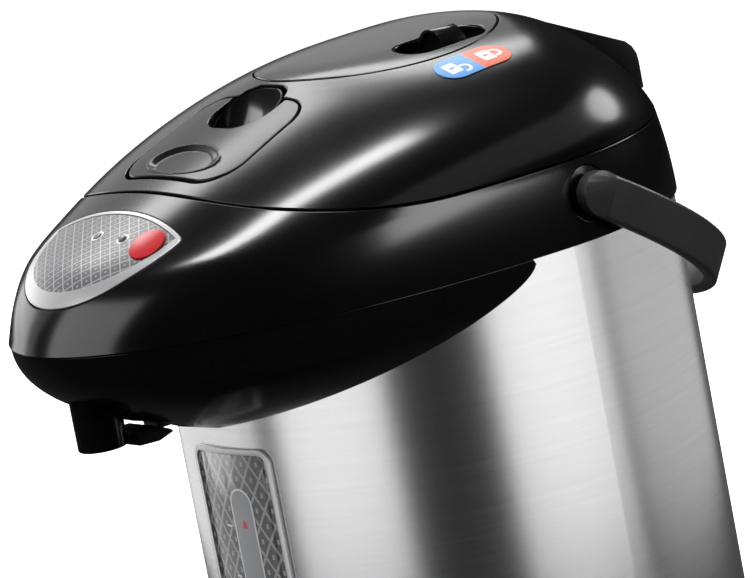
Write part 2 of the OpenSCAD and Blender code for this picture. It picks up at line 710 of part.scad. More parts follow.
// Round-topped slider across the dish, hollowed a little at its front, on a stem and a foot
module lock_knob() color("black") translate(knob_pos) {
  difference() {
    translate([0, 5.5, 0]) rotate([90, 0, 0]) linear_extrude(11) intersection() {
      translate([0, -0.5]) circle(8.5);
      translate([-10, -0.6]) square([20, 10]);
    }
    translate([0, -4.1, -0.5]) rotate([90, 0, 0]) cylinder(r = 7.2, h = 3);
  }
  translate([0, 0, -5]) cylinder(r = 3.9, h = 6);
  translate([0, 0, -6]) slab(10.4, 10, 2, 2);
}
module lock_badge() color("steelblue") intersection() {
  skin(lid_rings(-0.4), lid_rings(-0.02), true);
  translate([60, 0.5, seam_z]) slab(15, 29, 7.4, 60);
}

turntable();
foot_pads();
swivel_retainer();
bottom_plate();
base_ring();
base_screws();
outer_shell();
neck_ring();
collar();
chin_cover();
inner_tank();
heater_plate();
heater_band();
thermostat();
thermal_fuse();
pump_motor();
drive_magnet();
pump_housing();
impeller();
suction_hose();
delivery_hose();
level_tube();
window_panel();
window_frame();
outlet_hose();
spout();
cup_lever();
cup_lever_pin();
cup_switch();
panel_face();
panel_frame();
indicator_lenses();
pour_button();
control_board();
power_board();
power_inlet();
inlet_pins();
hinge_bracket();
hinge_pin();
bail_pivots();
bail_handle();
latch_keeper();
lid_shell();
vent_hood();
finger_well();
lid_chassis();
inner_cover();
lid_gasket();
steam_cap();
release_lever();
lever_hinge_pin();
lever_spring();
latch_bolt();
press_plate();
bellows();
bellows_seat();
press_spring();
lock_knob();
lock_badge();
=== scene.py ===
"""Electric thermo pot, dressed for its picture.

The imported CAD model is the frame. Smooth mouldings stand over the faceted shells of the head,
every part gets its finish, and a plain studio with one camera is set around the pot.
Lengths are millimetres up to the moment a mesh is made.
"""

import json
import logging
import math
from dataclasses import dataclass, field
from enum import Enum
from functools import cached_property
from typing import Callable, Optional, Protocol, Sequence

import bpy
import numpy as np
from mathutils import Matrix, Vector
from mathutils.geometry import delaunay_2d_cdt
from mathutils.kdtree import KDTree


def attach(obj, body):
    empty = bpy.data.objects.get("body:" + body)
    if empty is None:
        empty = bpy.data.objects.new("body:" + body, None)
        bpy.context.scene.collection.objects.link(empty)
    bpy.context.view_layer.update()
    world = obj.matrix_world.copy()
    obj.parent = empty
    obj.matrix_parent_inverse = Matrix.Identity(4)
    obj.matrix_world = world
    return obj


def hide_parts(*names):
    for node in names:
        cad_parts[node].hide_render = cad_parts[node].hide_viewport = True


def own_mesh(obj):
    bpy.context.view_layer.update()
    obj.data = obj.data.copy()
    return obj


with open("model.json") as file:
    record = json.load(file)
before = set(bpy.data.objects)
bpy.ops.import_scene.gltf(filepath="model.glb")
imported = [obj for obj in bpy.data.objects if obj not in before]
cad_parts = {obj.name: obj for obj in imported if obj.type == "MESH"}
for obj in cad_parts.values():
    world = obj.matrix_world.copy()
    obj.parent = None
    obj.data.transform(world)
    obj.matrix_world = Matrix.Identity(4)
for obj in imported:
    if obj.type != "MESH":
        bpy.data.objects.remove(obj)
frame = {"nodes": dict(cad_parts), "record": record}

LOG = logging.getLogger("thermo_pot")
MM = 0.001
Array = np.ndarray
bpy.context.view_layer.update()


# --- Curves of the head ------------------------------------------------------------------


@dataclass(frozen=True)
class HeadForm:
    """The egg-shaped head that collar, lid, lever and press plate are all cut from."""

    belt: float = 250.0
    rise: float = 78.4
    belt_half: float = 103.8
    seam_half: float = 100.9
    apex_back: float = 34.7
    seam_low: float = 281.5
    seam_climb: float = 16.0
    seam_spread: float = math.radians(66)
    knots: tuple[tuple[float, float], ...] = (
        (0, 177.5),
        (0.15, 171.6),
        (0.32, 160.8),
        (0.48, 136.1),
        (0.64, 108.5),
        (0.78, 80.5),
        (0.9, 54.4),
        (0.97, 39.6),
        (1, -34.7),
    )

    @property
    def apex(self) -> float:
        """Height of the lid's top."""
        return self.belt + self.rise

    @cached_property
    def slopes(self) -> Array:
        """Slope of the reach curve at each knot, chosen so that it never overshoots.

        Returns:
            One slope per knot, the harmonic mean of its neighbours.
        """
        k, v = np.array(self.knots, float).T
        s = np.diff(v) / np.diff(k)
        inner = [0.0 if a * b <= 0 else 2 * a * b / (a + b) for a, b in zip(s[:-1], s[1:])]
        return np.array([s[0], *inner, s[-1]])

    def through_knots(self, t: Array) -> Array:
        """Reach by height fraction, as the plain curve through the knots.

        Args:
            t: Height as a fraction from the belt to the top.

        Returns:
            The reach forward of the axis.
        """
        k, v = np.array(self.knots, float).T
        i = np.clip(np.searchsorted(k, t, side="right") - 1, 0, len(k) - 2)
        h = k[i + 1] - k[i]
        u = (t - k[i]) / h
        m = self.slopes
        return (
            v[i] * (1 + 2 * u) * (1 - u) ** 2
            + h * m[i] * u * (1 - u) ** 2
            + v[i + 1] * u * u * (3 - 2 * u)
            + h * m[i + 1] * u * u * (u - 1)
        )

    def reach(self, t: Array) -> Array:
        """How far the head reaches forward of the axis.

        Args:
            t: Height as a fraction from the belt to the top.

        Returns:
            The knot curve averaged over a short span, so that gloss shows no kink at a knot.
        """
        span = np.clip(0.5 * np.minimum(t, 1 - t), 0, 0.05)
        weights = (1, 2, 3, 4, 3, 2, 1)
        steps = np.linspace(-1, 1, len(weights))
        total = sum(w * self.through_knots(t + span * s) for w, s in zip(weights, steps))
        return total / sum(weights)

    def dome(self, z: Array) -> Array:
        """Height above the low seam as a fraction of the dome."""
        return np.clip((z - self.seam_low) / (self.apex - self.seam_low), 0, 1)

    def ease(self, z: Array) -> Array:
        """Small growth round the seam height that takes the kink out of the sides.

        Args:
            z: Height.

        Returns:
            The growth of the half width.
        """
        d, w = z - self.seam_low, 3.0
        kink = 2 * (self.belt_half - self.seam_half) / (self.seam_low - self.belt)
        up = np.maximum(d, 0)
        return kink * (np.where(np.abs(d) < w, (d + w) ** 2 / (4 * w), up) - up)

    def half(self, z: Array) -> Array:
        """Half width of the head at a height.

        Args:
            z: Height.

        Returns:
            The half width.
        """
        low = np.minimum(z, self.seam_low) - self.belt
        side = self.belt_half - (self.belt_half - self.seam_half) * (
            low / (self.seam_low - self.belt)
        ) ** 2
        top = self.seam_half * (1 - self.dome(z) ** 2.065) ** (1 / 2.27)
        return np.where(z < self.seam_low, side, top) + self.ease(z)

    def middle(self, z: Array) -> Array:
        """How far the widest point lies behind the axis at a height."""
        return self.apex_back * self.dome(z) ** 1.5

    def rear(self, z: Array) -> Array:
        """Reach of the head behind its widest point.

        Args:
            z: Height.

        Returns:
            The reach behind the widest point.
        """
        top = self.seam_half * (1 - self.dome(z) ** 1.223) ** (1 / 2.37)
        top = top * (1 - self.middle(z) / self.seam_half) + self.ease(z)
        return np.where(z < self.seam_low, self.half(z), top)

    def radius(self, a: Array, z: Array) -> Array:
        """Distance from the widest point to the skin, at an angle from the beak.

        Args:
            a: Angle from the beak.
            z: Height.

        Returns:
            The distance from the widest point.
        """
        t = (z - self.belt) / self.rise
        c = np.cos(a)
        front = c > 0
        e = np.where(front, self.reach(t) + self.middle(z), self.rear(z))
        n = np.where(front, 1.96 + 0.3 * t, 2.0)
        e, h = np.maximum(e, 1e-6), np.maximum(self.half(z), 1e-6)
        return ((np.abs(c) / e) ** n + (np.abs(np.sin(a)) / h) ** n) ** (-1 / n)

    def point(self, a: Array, z: Array) -> Array:
        """Point of the skin at an angle from the beak and a height."""
        r = self.radius(a, z)
        return np.stack([r * np.sin(a), self.middle(z) - r * np.cos(a), z + 0 * a], -1)

    def seam(self, a: Array) -> Array:
        """Height of the seam between collar and lid, which climbs over the beak.

        Args:
            a: Angle from the beak.

        Returns:
            The seam's height.
        """
        b = np.abs((a + math.pi) % (2 * math.pi) - math.pi)
        climb = self.seam_climb * (0.5 + 0.5 * np.cos(math.pi * b / self.seam_spread))
        return self.seam_low + np.where(b < self.seam_spread, climb, 0)

    def height(self, x: Array, y: Array) -> Array:
        """Height of the skin over a point seen from above.

        Args:
            x: Place across the pot.
            y: Place along the pot.

        Returns:
            The height of the skin, found by halving.
        """
        low = np.full(np.shape(x), self.belt - 6.0)
        high = np.full(np.shape(x), self.apex - 1e-6)
        for _ in range(46):
            z = (low + high) / 2
            away = np.hypot(x, y - self.middle(z))
            a = np.arctan2(x, self.middle(z) - y)
            inner = away < self.radius(a, z)
            low, high = np.where(inner, z, low), np.where(inner, high, z)
        return (low + high) / 2


HEAD = HeadForm()


class Chart(Protocol):
    """A flat map of a curved skin. Its two directions and the outward normal are right-handed."""

    step: float

    def place(self, q: Array) -> Array:
        """Points of the skin, in millimetres, for map points."""


@dataclass(frozen=True)
class TopChart:
    """The head's upper skin mapped by its plan, lifted or dented by a function of the plan."""

    lift: Optional[Callable[[Array, Array], Array]] = None
    sink: float = 0.0
    step: float = 0.08

    def place(self, q: Array) -> Array:
        """Points of the skin over plan points.

        Args:
            q: Plan points.

        Returns:
            Points of the skin.
        """
        z = HEAD.height(q[:, 0], q[:, 1]) - self.sink
        if self.lift is not None:
            z = z + self.lift(q[:, 0], q[:, 1])
        return np.stack([q[:, 0], q[:, 1], z], -1)


@dataclass(frozen=True)
class LidChart:
    """The lid mapped to a disc whose rim is the seam."""

    power: float = 2.1
    step: float = 1e-3

    def place(self, q: Array) -> Array:
        """Points of the lid's skin for points of the disc.

        Args:
            q: Points of the disc.

        Returns:
            Points of the skin.
        """
        a = np.arctan2(q[:, 0], -q[:, 1])
        u = 1 - np.clip(np.hypot(q[:, 0], q[:, 1]), 1e-4, None) ** self.power
        s = HEAD.seam(a)
        return HEAD.point(a, s + (HEAD.apex - s) * u)

    def find(self, xy: Array) -> Array:
        """Disc points of plan points.

        Args:
            xy: Plan points.

        Returns:
            Points of the disc.
        """
        z = HEAD.height(xy[:, 0], xy[:, 1])
        a = np.arctan2(xy[:, 0], HEAD.middle(z) - xy[:, 1])
        s = HEAD.seam(a)
        rho = np.clip(1 - (z - s) / (HEAD.apex - s), 1e-6, None) ** (1 / self.power)
        return np.stack([rho * np.sin(a), -rho * np.cos(a)], -1)


@dataclass(frozen=True)
class CollarChart:
    """The collar mapped to a ring, its inner rim the seam and its outer rim the belt."""

    gap: float = 0.5
    outer: float = 1.36
    step: float = 1e-3

    def place(self, q: Array) -> Array:
        """Points of the collar's skin for points of the ring.

        Args:
            q: Points of the ring.

        Returns:
            Points of the skin.
        """
        a = np.arctan2(q[:, 0], -q[:, 1])
        v = (self.outer - np.hypot(q[:, 0], q[:, 1])) / (self.outer - 1)
        return HEAD.point(a, HEAD.belt + (HEAD.seam(a) - self.gap - HEAD.belt) * v)

    def ring_point(self, a: Array, z: Array) -> Array:
        """Ring points of angles and heights.

        Args:
            a: Angles from the beak.
            z: Heights.

        Returns:
            Points of the ring.
        """
        v = (z - HEAD.belt) / (HEAD.seam(a) - self.gap - HEAD.belt)
        s = self.outer - v * (self.outer - 1)
        return np.stack([s * np.sin(a), -s * np.cos(a)], -1)

    def find(self, xy: Array) -> Array:
        """Ring points of plan points."""
        z = HEAD.height(xy[:, 0], xy[:, 1])
        return self.ring_point(np.arctan2(xy[:, 0], HEAD.middle(z) - xy[:, 1]), z)


@dataclass(frozen=True)
class ChinChart:
    """The chin under the belt, mapped by the distance round it and the depth."""

    top: float = 249.7
    depth: float = 47.5
    half: float = 101.8
    root: float = 104.0
    nose: float = 72.4
    power: float = 2.2
    turn: float = 110.0
    step: float = 0.05

    def radius(self, a: Array, d: Array) -> Array:
        """Distance from the axis at an angle from the beak and a depth.

        Args:
            a: Angle from the beak.
            d: Depth under the belt.

        Returns:
            The distance from the pot's axis.
        """
        k = np.clip(d / self.depth, -0.2, 0.9995)
        fall = 1 - np.sign(k) * np.abs(k) ** self.power
        half = self.half * fall ** (1 / self.power)
        return np.hypot(np.cos(a) / (self.root + self.nose * fall), np.sin(a) / half) ** -1

    def place(self, q: Array) -> Array:
        """Points of the chin's skin.

        Args:
            q: Map points, the distance round the chin and the negative depth.

        Returns:
            Points of the skin.
        """
        a, d = q[:, 0] / self.turn, -q[:, 1]
        r = self.radius(a, d)
        return np.stack([r * np.sin(a), -r * np.cos(a), self.top - d], -1)

    def depth_at(self, a: Array, r: Array) -> Array:
        """Depth at which the chin has a given radius.

        Args:
            a: Angle from the beak.
            r: Distance from the pot's axis.

        Returns:
            The depth, found by halving.
        """
        low, high = np.zeros(np.shape(a)), np.full(np.shape(a), self.depth * 0.9995)
        for _ in range(40):
            d = (low + high) / 2
            wide = self.radius(a, d) > r
            low, high = np.where(wide, d, low), np.where(wide, high, d)
        return (low + high) / 2

    def find(self, xy: Array) -> Array:
        """Map points of plan points of the underside.

        Args:
            xy: Plan points.

        Returns:
            Map points.
        """
        a = np.arctan2(xy[:, 0], -xy[:, 1])
        d = self.depth_at(a, np.hypot(xy[:, 0], xy[:, 1]))
        return np.stack([a * self.turn, -d], -1)


@dataclass(frozen=True)
class ShellChart:
    """The window's skin, mapped by the distance round the pot and the height."""

    radius: float
    step: float = 0.05

    def place(self, q: Array) -> Array:
        """Points of the skin."""
        a = q[:, 0] / self.radius
        return np.stack([self.radius * np.sin(a), -self.radius * np.cos(a), q[:, 1]], -1)


@dataclass(frozen=True)
class FlatChart:
    """A level floor at a height."""

    z: float
    step: float = 0.05

    def place(self, q: Array) -> Array:
        """Points of the floor."""
        return np.stack([q[:, 0], q[:, 1], np.full(len(q), self.z)], -1)


# --- Outlines ------------------------------------------------------------------------------


def fill_in(loop: Array, step: float) -> Array:
    """Adds points along the long stretches of a closed outline.

    Args:
        loop: The outline's points in order.
        step: Longest stretch to leave.

    Returns:
        The denser outline.
    """
    out: list[Array] = []
    for p, q in zip(loop, np.roll(loop, -1, 0)):
        n = max(1, math.ceil(np.linalg.norm(q - p) / step))
        out += [p + (q - p) * i / n for i in range(n)]
    return np.array(out)


def rounded(corners: Sequence[tuple[float, float, float]], step: float = 0.8) -> Array:
    """Counter-clockwise outline with round corners.

    Args:
        corners: Each corner's x, y and radius.
        step: Spacing of the points.

    Returns:
        The outline's points.
    """
    xy = np.array([c[:2] for c in corners], float)
    out: list[Array] = []
    for i, (_, _, r) in enumerate(corners):
        p = xy[i]
        if r <= 0:
            out.append(p)
            continue
        d1, d2 = xy[i - 1] - p, xy[(i + 1) % len(xy)] - p
        d1, d2 = d1 / np.linalg.norm(d1), d2 / np.linalg.norm(d2)
        corner = math.acos(float(np.clip(d1 @ d2, -1, 1)))
        mid = (d1 + d2) / np.linalg.norm(d1 + d2)
        centre = p + mid * r / math.sin(corner / 2)
        start = p + d1 * r / math.tan(corner / 2) - centre
        turn = math.pi - corner
        side = 1.0 if d1[0] * d2[1] - d1[1] * d2[0] < 0 else -1.0
        n = max(3, math.ceil(r * turn / step))
        for t in np.linspace(0, side * turn, n + 1):
            c, s = math.cos(t), math.sin(t)
            out.append(centre + np.array([c * start[0] - s * start[1], s * start[0] + c * start[1]]))
    return fill_in(np.array(out), step)


def ellipse(x: float, y: float, a: float, b: float, step: float = 0.8) -> Array:
    """Counter-clockwise ellipse as an outline.

    Args:
        x: Its centre along the first direction.
        y: Its centre along the second.
        a: Half its size along the first direction.
        b: Half its size along the second.
        step: Spacing of the points.

    Returns:
        The outline's points.
    """
    n = max(16, math.ceil(math.pi * (a + b) / step))
    t = np.linspace(0, 2 * math.pi, n, endpoint=False)
    return np.stack([x + a * np.cos(t), y + b * np.sin(t)], -1)


def slab_outline(x: float, y: float, w: float, d: float, r: float, step: float = 0.8) -> Array:
    """Counter-clockwise rectangle with round corners.

    Args:
        x: Its centre along the first direction.
        y: Its centre along the second.
        w: Its size along the first direction.
        d: Its size along the second.
        r: Radius of its corners.
        step: Spacing of the points.

    Returns:
        The outline's points.
    """
    return rounded([(x + i * w / 2, y + j * d / 2, r) for i, j in ((-1, -1), (1, -1), (1, 1), (-1, 1))], step)


def inside(points: Array, loop: Array) -> Array:
    """Which points lie inside a closed outline.

    Args:
        points: The points to test.
        loop: The outline.

    Returns:
        One truth value per point.
    """
    a, b = loop, np.roll(loop, -1, 0)
    x, y = points[:, 0, None], points[:, 1, None]
    rise = np.where(a[:, 1] == b[:, 1], 1e-12, b[:, 1] - a[:, 1])
    hit = ((a[:, 1] > y) != (b[:, 1] > y)) & (x < (b[:, 0] - a[:, 0]) * (y - a[:, 1]) / rise + a[:, 0])
    return hit.sum(1) % 2 == 1


def raised(lift: float) -> TopChart:
    """The head's upper skin, raised evenly."""
    return TopChart(lift=lambda x, y: lift + 0 * x)


def turns_left(loop: Array) -> bool:
    """Whether a closed outline runs counter-clockwise."""
    x, y = loop.T
    return float(np.sum(x * np.roll(y, -1) - np.roll(x, -1) * y)) > 0


def as_hole(loop: Array) -> Array:
    """An outline turned so that it runs clockwise."""
    return loop[::-1] if turns_left(loop) else loop


def unit(v: Array) -> Array:
    """Vectors made one long."""
    return v / np.maximum(np.linalg.norm(v, axis=-1, keepdims=True), 1e-12)


# --- Meshes ----------------------------------------------------------------------------------


@dataclass
class MeshParts:
    """Points, their normals and faces, gathered piece by piece."""

    points: list[Array] = field(default_factory=list)
    normals: list[Array] = field(default_factory=list)
    faces: list[list[int]] = field(default_factory=list)
    count: int = 0

    def add(self, points: Array, normals: Array) -> Array:
        """Adds points and gives back their numbers.

        Args:
            points: The new points.
            normals: Their normals.

        Returns:
            The points' numbers.
        """
        self.points.append(np.asarray(points, float))
        self.normals.append(unit(np.asarray(normals, float)))
        self.count += len(points)
        return np.arange(self.count - len(points), self.count)

    def strip(self, a: Array, b: Array, closed: bool = True) -> None:
        """Joins two rows of points by a band of four-sided faces.

        Args:
            a: Numbers of the first row.
            b: Numbers of the second row.
            closed: Whether the band runs round.
        """
        last = len(a) if closed else len(a) - 1
        n = len(a)
        self.faces += [[int(a[i]), int(b[i]), int(b[(i + 1) % n]), int(a[(i + 1) % n])] for i in range(last)]

    def build(self, name: str) -> bpy.types.Object:
        """Makes the Blender object.

        Args:
            name: Name of the piece.

        Returns:
            A linked object with smooth faces and the gathered normals.
        """
        points = np.concatenate(self.points) * MM
        mesh = bpy.data.meshes.new(name)
        mesh.from_pydata(points.tolist(), [], self.faces)
        mesh.validate()
        mesh.update()
        mesh.shade_smooth()
        mesh.normals_split_custom_set_from_vertices(np.concatenate(self.normals).tolist())
        mesh.update()
        piece = bpy.data.objects.new(name, mesh)
        bpy.context.scene.collection.objects.link(piece)
        return piece


def skin_at(chart: Chart, q: Array) -> tuple[Array, Array, Array, Array]:
    """Points, normals and the two tangents of a chart at map points.

    Args:
        chart: The map of the skin.
        q: The map points.

    Returns:
        The points, their outward normals and the steps of the skin along both map directions.
    """
    e0, e1 = np.array([chart.step, 0]), np.array([0, chart.step])
    d0 = (chart.place(q + e0) - chart.place(q - e0)) / (2 * chart.step)
    d1 = (chart.place(q + e1) - chart.place(q - e1)) / (2 * chart.step)
    return chart.place(q), unit(np.cross(d0, d1)), d0, d1


@dataclass(frozen=True)
class Cut:
    """One border of a moulding: where it runs, how round its edge is and how deep its wall."""

    loop: Array
    rim: float = 0.6
    wall: float = 2.4
    foot: Optional[float] = None
    upright: bool = False


@dataclass(frozen=True)
class Moulding:
    """A shell cut out of a charted skin, with rounded borders and an even thickness."""

    chart: Chart
    outer: Cut
    holes: tuple[Cut, ...] = ()
    spacing: float = 1.6
    fine: tuple[tuple[float, float, float, float], ...] = ()
    hollow: bool = True

    def drawn_in(self, cut: Cut) -> Array:
        """A border's map points, drawn in by the radius of its round edge.

        Args:
            cut: The border.

        Returns:
            The map points where its round edge starts.
        """
        q = cut.loop
        p, n, d0, d1 = skin_at(self.chart, q)
        o = unit(np.cross(unit(np.roll(p, -1, 0) - np.roll(p, 1, 0)), n)) * cut.rim
        a, b, c = (d0 * d0).sum(1), (d0 * d1).sum(1), (d1 * d1).sum(1)
        u, v = (o * d0).sum(1), (o * d1).sum(1)
        det = a * c - b * b
        return q - np.stack([(c * u - b * v) / det, (a * v - b * u) / det], -1)

    def grid(self, loops: list[Array]) -> Array:
        """Inner points: an even lattice, closer together in the fine spots.

        Args:
            loops: The moulding's borders, the outer one first.

        Returns:
            The map points between them.
        """
        low, high = loops[0].min(0), loops[0].max(0)
        found = []
        for x0, y0, r, s in ((0.0, 0.0, 1e9, self.spacing), *self.fine):
            a = np.maximum(low, (x0 - r, y0 - r))
            b = np.minimum(high, (x0 + r, y0 + r))
            xs, ys = np.arange(a[0], b[0], s), np.arange(a[1], b[1], s * 0.866)
            gx, gy = np.meshgrid(xs, ys)
            gx = gx + (np.arange(len(ys)) % 2)[:, None] * s / 2
            pts = np.stack([gx.ravel(), gy.ravel()], -1)
            keep = np.hypot(pts[:, 0] - x0, pts[:, 1] - y0) < r
            if s == self.spacing:
                for fx, fy, fr, _ in self.fine:
                    keep &= np.hypot(pts[:, 0] - fx, pts[:, 1] - fy) > fr
            found.append(pts[keep])
        pts = np.concatenate(found)
        keep = inside(pts, loops[0])
        for hole in loops[1:]:
            keep &= ~inside(pts, hole)
        pts = pts[keep]
        tree = KDTree(sum(map(len, loops)))
        for i, p in enumerate(np.concatenate(loops)):
            tree.insert((*p, 0), i)
        tree.balance()
        spot = np.full(len(pts), self.spacing)
        for fx, fy, fr, fs in self.fine:
            spot[np.hypot(pts[:, 0] - fx, pts[:, 1] - fy) < fr * 1.02] = fs
        clear = [tree.find((*p, 0))[2] > 0.55 * s for p, s in zip(pts, spot)]
        return pts[np.array(clear, bool)]

    def gather(self, parts: MeshParts) -> None:
        """Adds the moulding's skin, borders and inner side to a mesh.

        Args:
            parts: The mesh to add to.
        """
        cuts = (self.outer, *self.holes)
        loops = [self.drawn_in(c) for c in cuts]
        pts = np.concatenate([*loops, self.grid(loops)])
        edges, start, spans = [], 0, []
        for loop in loops:
            n = len(loop)
            edges += [(start + i, start + (i + 1) % n) for i in range(n)]
            spans.append(range(start, start + n))
            start += n
        verts, _, tris, origin, _, _ = delaunay_2d_cdt([Vector(p) for p in pts], edges, [], 0, 1e-7)
        q = np.array([tuple(v) for v in verts])
        number = {k: i for i, ks in enumerate(origin) for k in ks}
        tri = np.array([t for t in tris if len(t) == 3])
        middle = q[tri].mean(1)
        keep = inside(middle, loops[0])
        for hole in loops[1:]:
            keep &= ~inside(middle, hole)
        tri = tri[keep]
        side = q[tri[:, 1]] - q[tri[:, 0]], q[tri[:, 2]] - q[tri[:, 0]]
        back = side[0][:, 0] * side[1][:, 1] - side[0][:, 1] * side[1][:, 0] < 0
        tri[back] = tri[back][:, ::-1]
        used = np.unique(tri)
        order = np.full(len(q), -1)
        order[used] = np.arange(len(used))
        p, n, _, _ = skin_at(self.chart, q[used])
        top = parts.add(p, n)
        parts.faces += [[int(top[order[i]]) for i in t] for t in tri]
        if self.hollow:
            low = parts.add(p - self.outer.wall * n, -n)
            parts.faces += [[int(low[order[i]]) for i in t[::-1]] for t in tri]
        for cut, span in zip(cuts, spans):
            ring = np.array([order[number[k]] for k in span])
            self.border(parts, cut, p[ring], n[ring], top[ring], low[ring] if self.hollow else None)

    @staticmethod
    def border(parts: MeshParts, cut: Cut, p: Array, n: Array, ring: Array, low: Optional[Array]) -> None:
        """Adds a border's round edge and its wall.

        Args:
            parts: The mesh to add to.
            cut: The border.
            p: Points where its round edge starts.
            n: Their normals.
            ring: The points' numbers.
            low: Numbers of the inner side, if there is one.
        """
        o = unit(np.cross(unit(np.roll(p, -1, 0) - np.roll(p, 1, 0)), n))
        level = cut.upright or cut.foot is not None
        down = np.broadcast_to([0.0, 0.0, -1.0], n.shape) if level else -n
        row = ring
        for j in (1, 2, 3):
            t = math.pi / 6 * j
            spot = p + cut.rim * (math.sin(t) * o + (1 - math.cos(t)) * down)
            new = parts.add(spot, math.cos(t) * n + math.sin(t) * o)
            parts.strip(row, new)
            row = new
        end = p + cut.rim * o + cut.wall * down
        if cut.foot is not None:
            end[:, 2] = cut.foot
        foot = parts.add(end, o)
        parts.strip(row, foot)
        if low is not None:
            parts.strip(foot, low)

    def build(self, name: str) -> bpy.types.Object:
        """Makes the moulding's object.

        Args:
            name: Name of the piece.

        Returns:
            The object.
        """
        parts = MeshParts()
        self.gather(parts)
        return parts.build(name)


# --- Finishes --------------------------------------------------------------------------------

Colour = tuple[float, float, float]


class Grain(Enum):
    """How a finish varies over its surface."""

    MOULDED = "moulded grain"
    BRUSHED = "brushed grain"


class Print(Enum):
    """What is printed over a finish."""

    NONE = "none"
    PANEL = "panel lattice"
    WINDOW = "window lattice"
    BADGE = "two-colour badge"


@dataclass(frozen=True)
class Finish:
    """One finish of the pot: the numbers of its shader and of the effects that vary it."""

    slot: str
    colour: Colour
    second: Colour
    rough: float = 0.3
    spread: float = 0.08
    scale: float = 900.0
    depth: float = 0.01
    metal: float = 0.0
    coat: float = 0.0
    worn: Colour = (0.1, 0.1, 0.1)
    wear: float = 0.15
    dust: float = 0.05
    clear: float = 0.0
    shine: float = 0.5
    grain: Grain = Grain.MOULDED
    prints: Print = Print.NONE


class Wiring:
    """Shorthand for laying out a shader tree."""

    def __init__(self, tree: bpy.types.NodeTree) -> None:
        """Starts on a tree."""
        self.tree = tree

    def add(self, kind: str, settings: Optional[dict] = None, **inputs: object) -> bpy.types.Node:
        """Adds a node.

        Args:
            kind: The node's type without its ShaderNode prefix.
            settings: Properties of the node itself.
            inputs: Values or sockets for its inputs, by name, or by number after an underscore.

        Returns:
            The new node.
        """
        node = self.tree.nodes.new("ShaderNode" + kind)
        for key, value in (settings or {}).items():
            setattr(node, key, value)
        for key, value in inputs.items():
            spot = node.inputs[int(key[1:])] if key[0] == "_" else node.inputs[key.replace("_", " ")]
            if isinstance(value, bpy.types.NodeSocket):
                self.tree.links.new(value, spot)
            else:
                spot.default_value = value
        return node

    def math(self, operation: str, *values: object) -> bpy.types.NodeSocket:
        """Adds a Math node on up to three values or sockets and gives its result."""
        inputs = {f"_{i}": v for i, v in enumerate(values)}
        return self.add("Math", {"operation": operation}, **inputs).outputs[0]

    def spot(self) -> bpy.types.NodeSocket:
        """The piece's own coordinates."""
        return self.add("TexCoord").outputs["Object"]

    def noise(self, at: bpy.types.NodeSocket, scale: object, detail: float) -> bpy.types.NodeSocket:
        """Adds a plain noise at a place and gives its strength."""
        return self.add("TexNoise", Vector=at, Scale=scale, Detail=detail).outputs[0]

    def mix(self, share: object, a: object, b: object) -> bpy.types.NodeSocket:
        """Mixes two colours by a share.

        Args:
            share: Share of the second colour.
            a: First colour or socket.
            b: Second colour or socket.

        Returns:
            The mixed colour.
        """
        a, b = ((*v, 1.0) if isinstance(v, tuple) else v for v in (a, b))
        node = self.add("Mix", {"data_type": "RGBA"}, _0=share, _6=a, _7=b)
        return node.outputs[2]

    def ramp(self, value: object, low: float, high: float) -> bpy.types.NodeSocket:
        """Smooth step from 0 at low to 1 at high."""
        settings = {"interpolation_type": "SMOOTHSTEP"}
        return self.add("MapRange", settings, Value=value, From_Min=low, From_Max=high).outputs[0]


@dataclass(frozen=True)
class Socket:
    """A group's input or output."""

    name: str
    kind: str = "NodeSocketFloat"
    value: object = None


COLOUR = "NodeSocketColor"


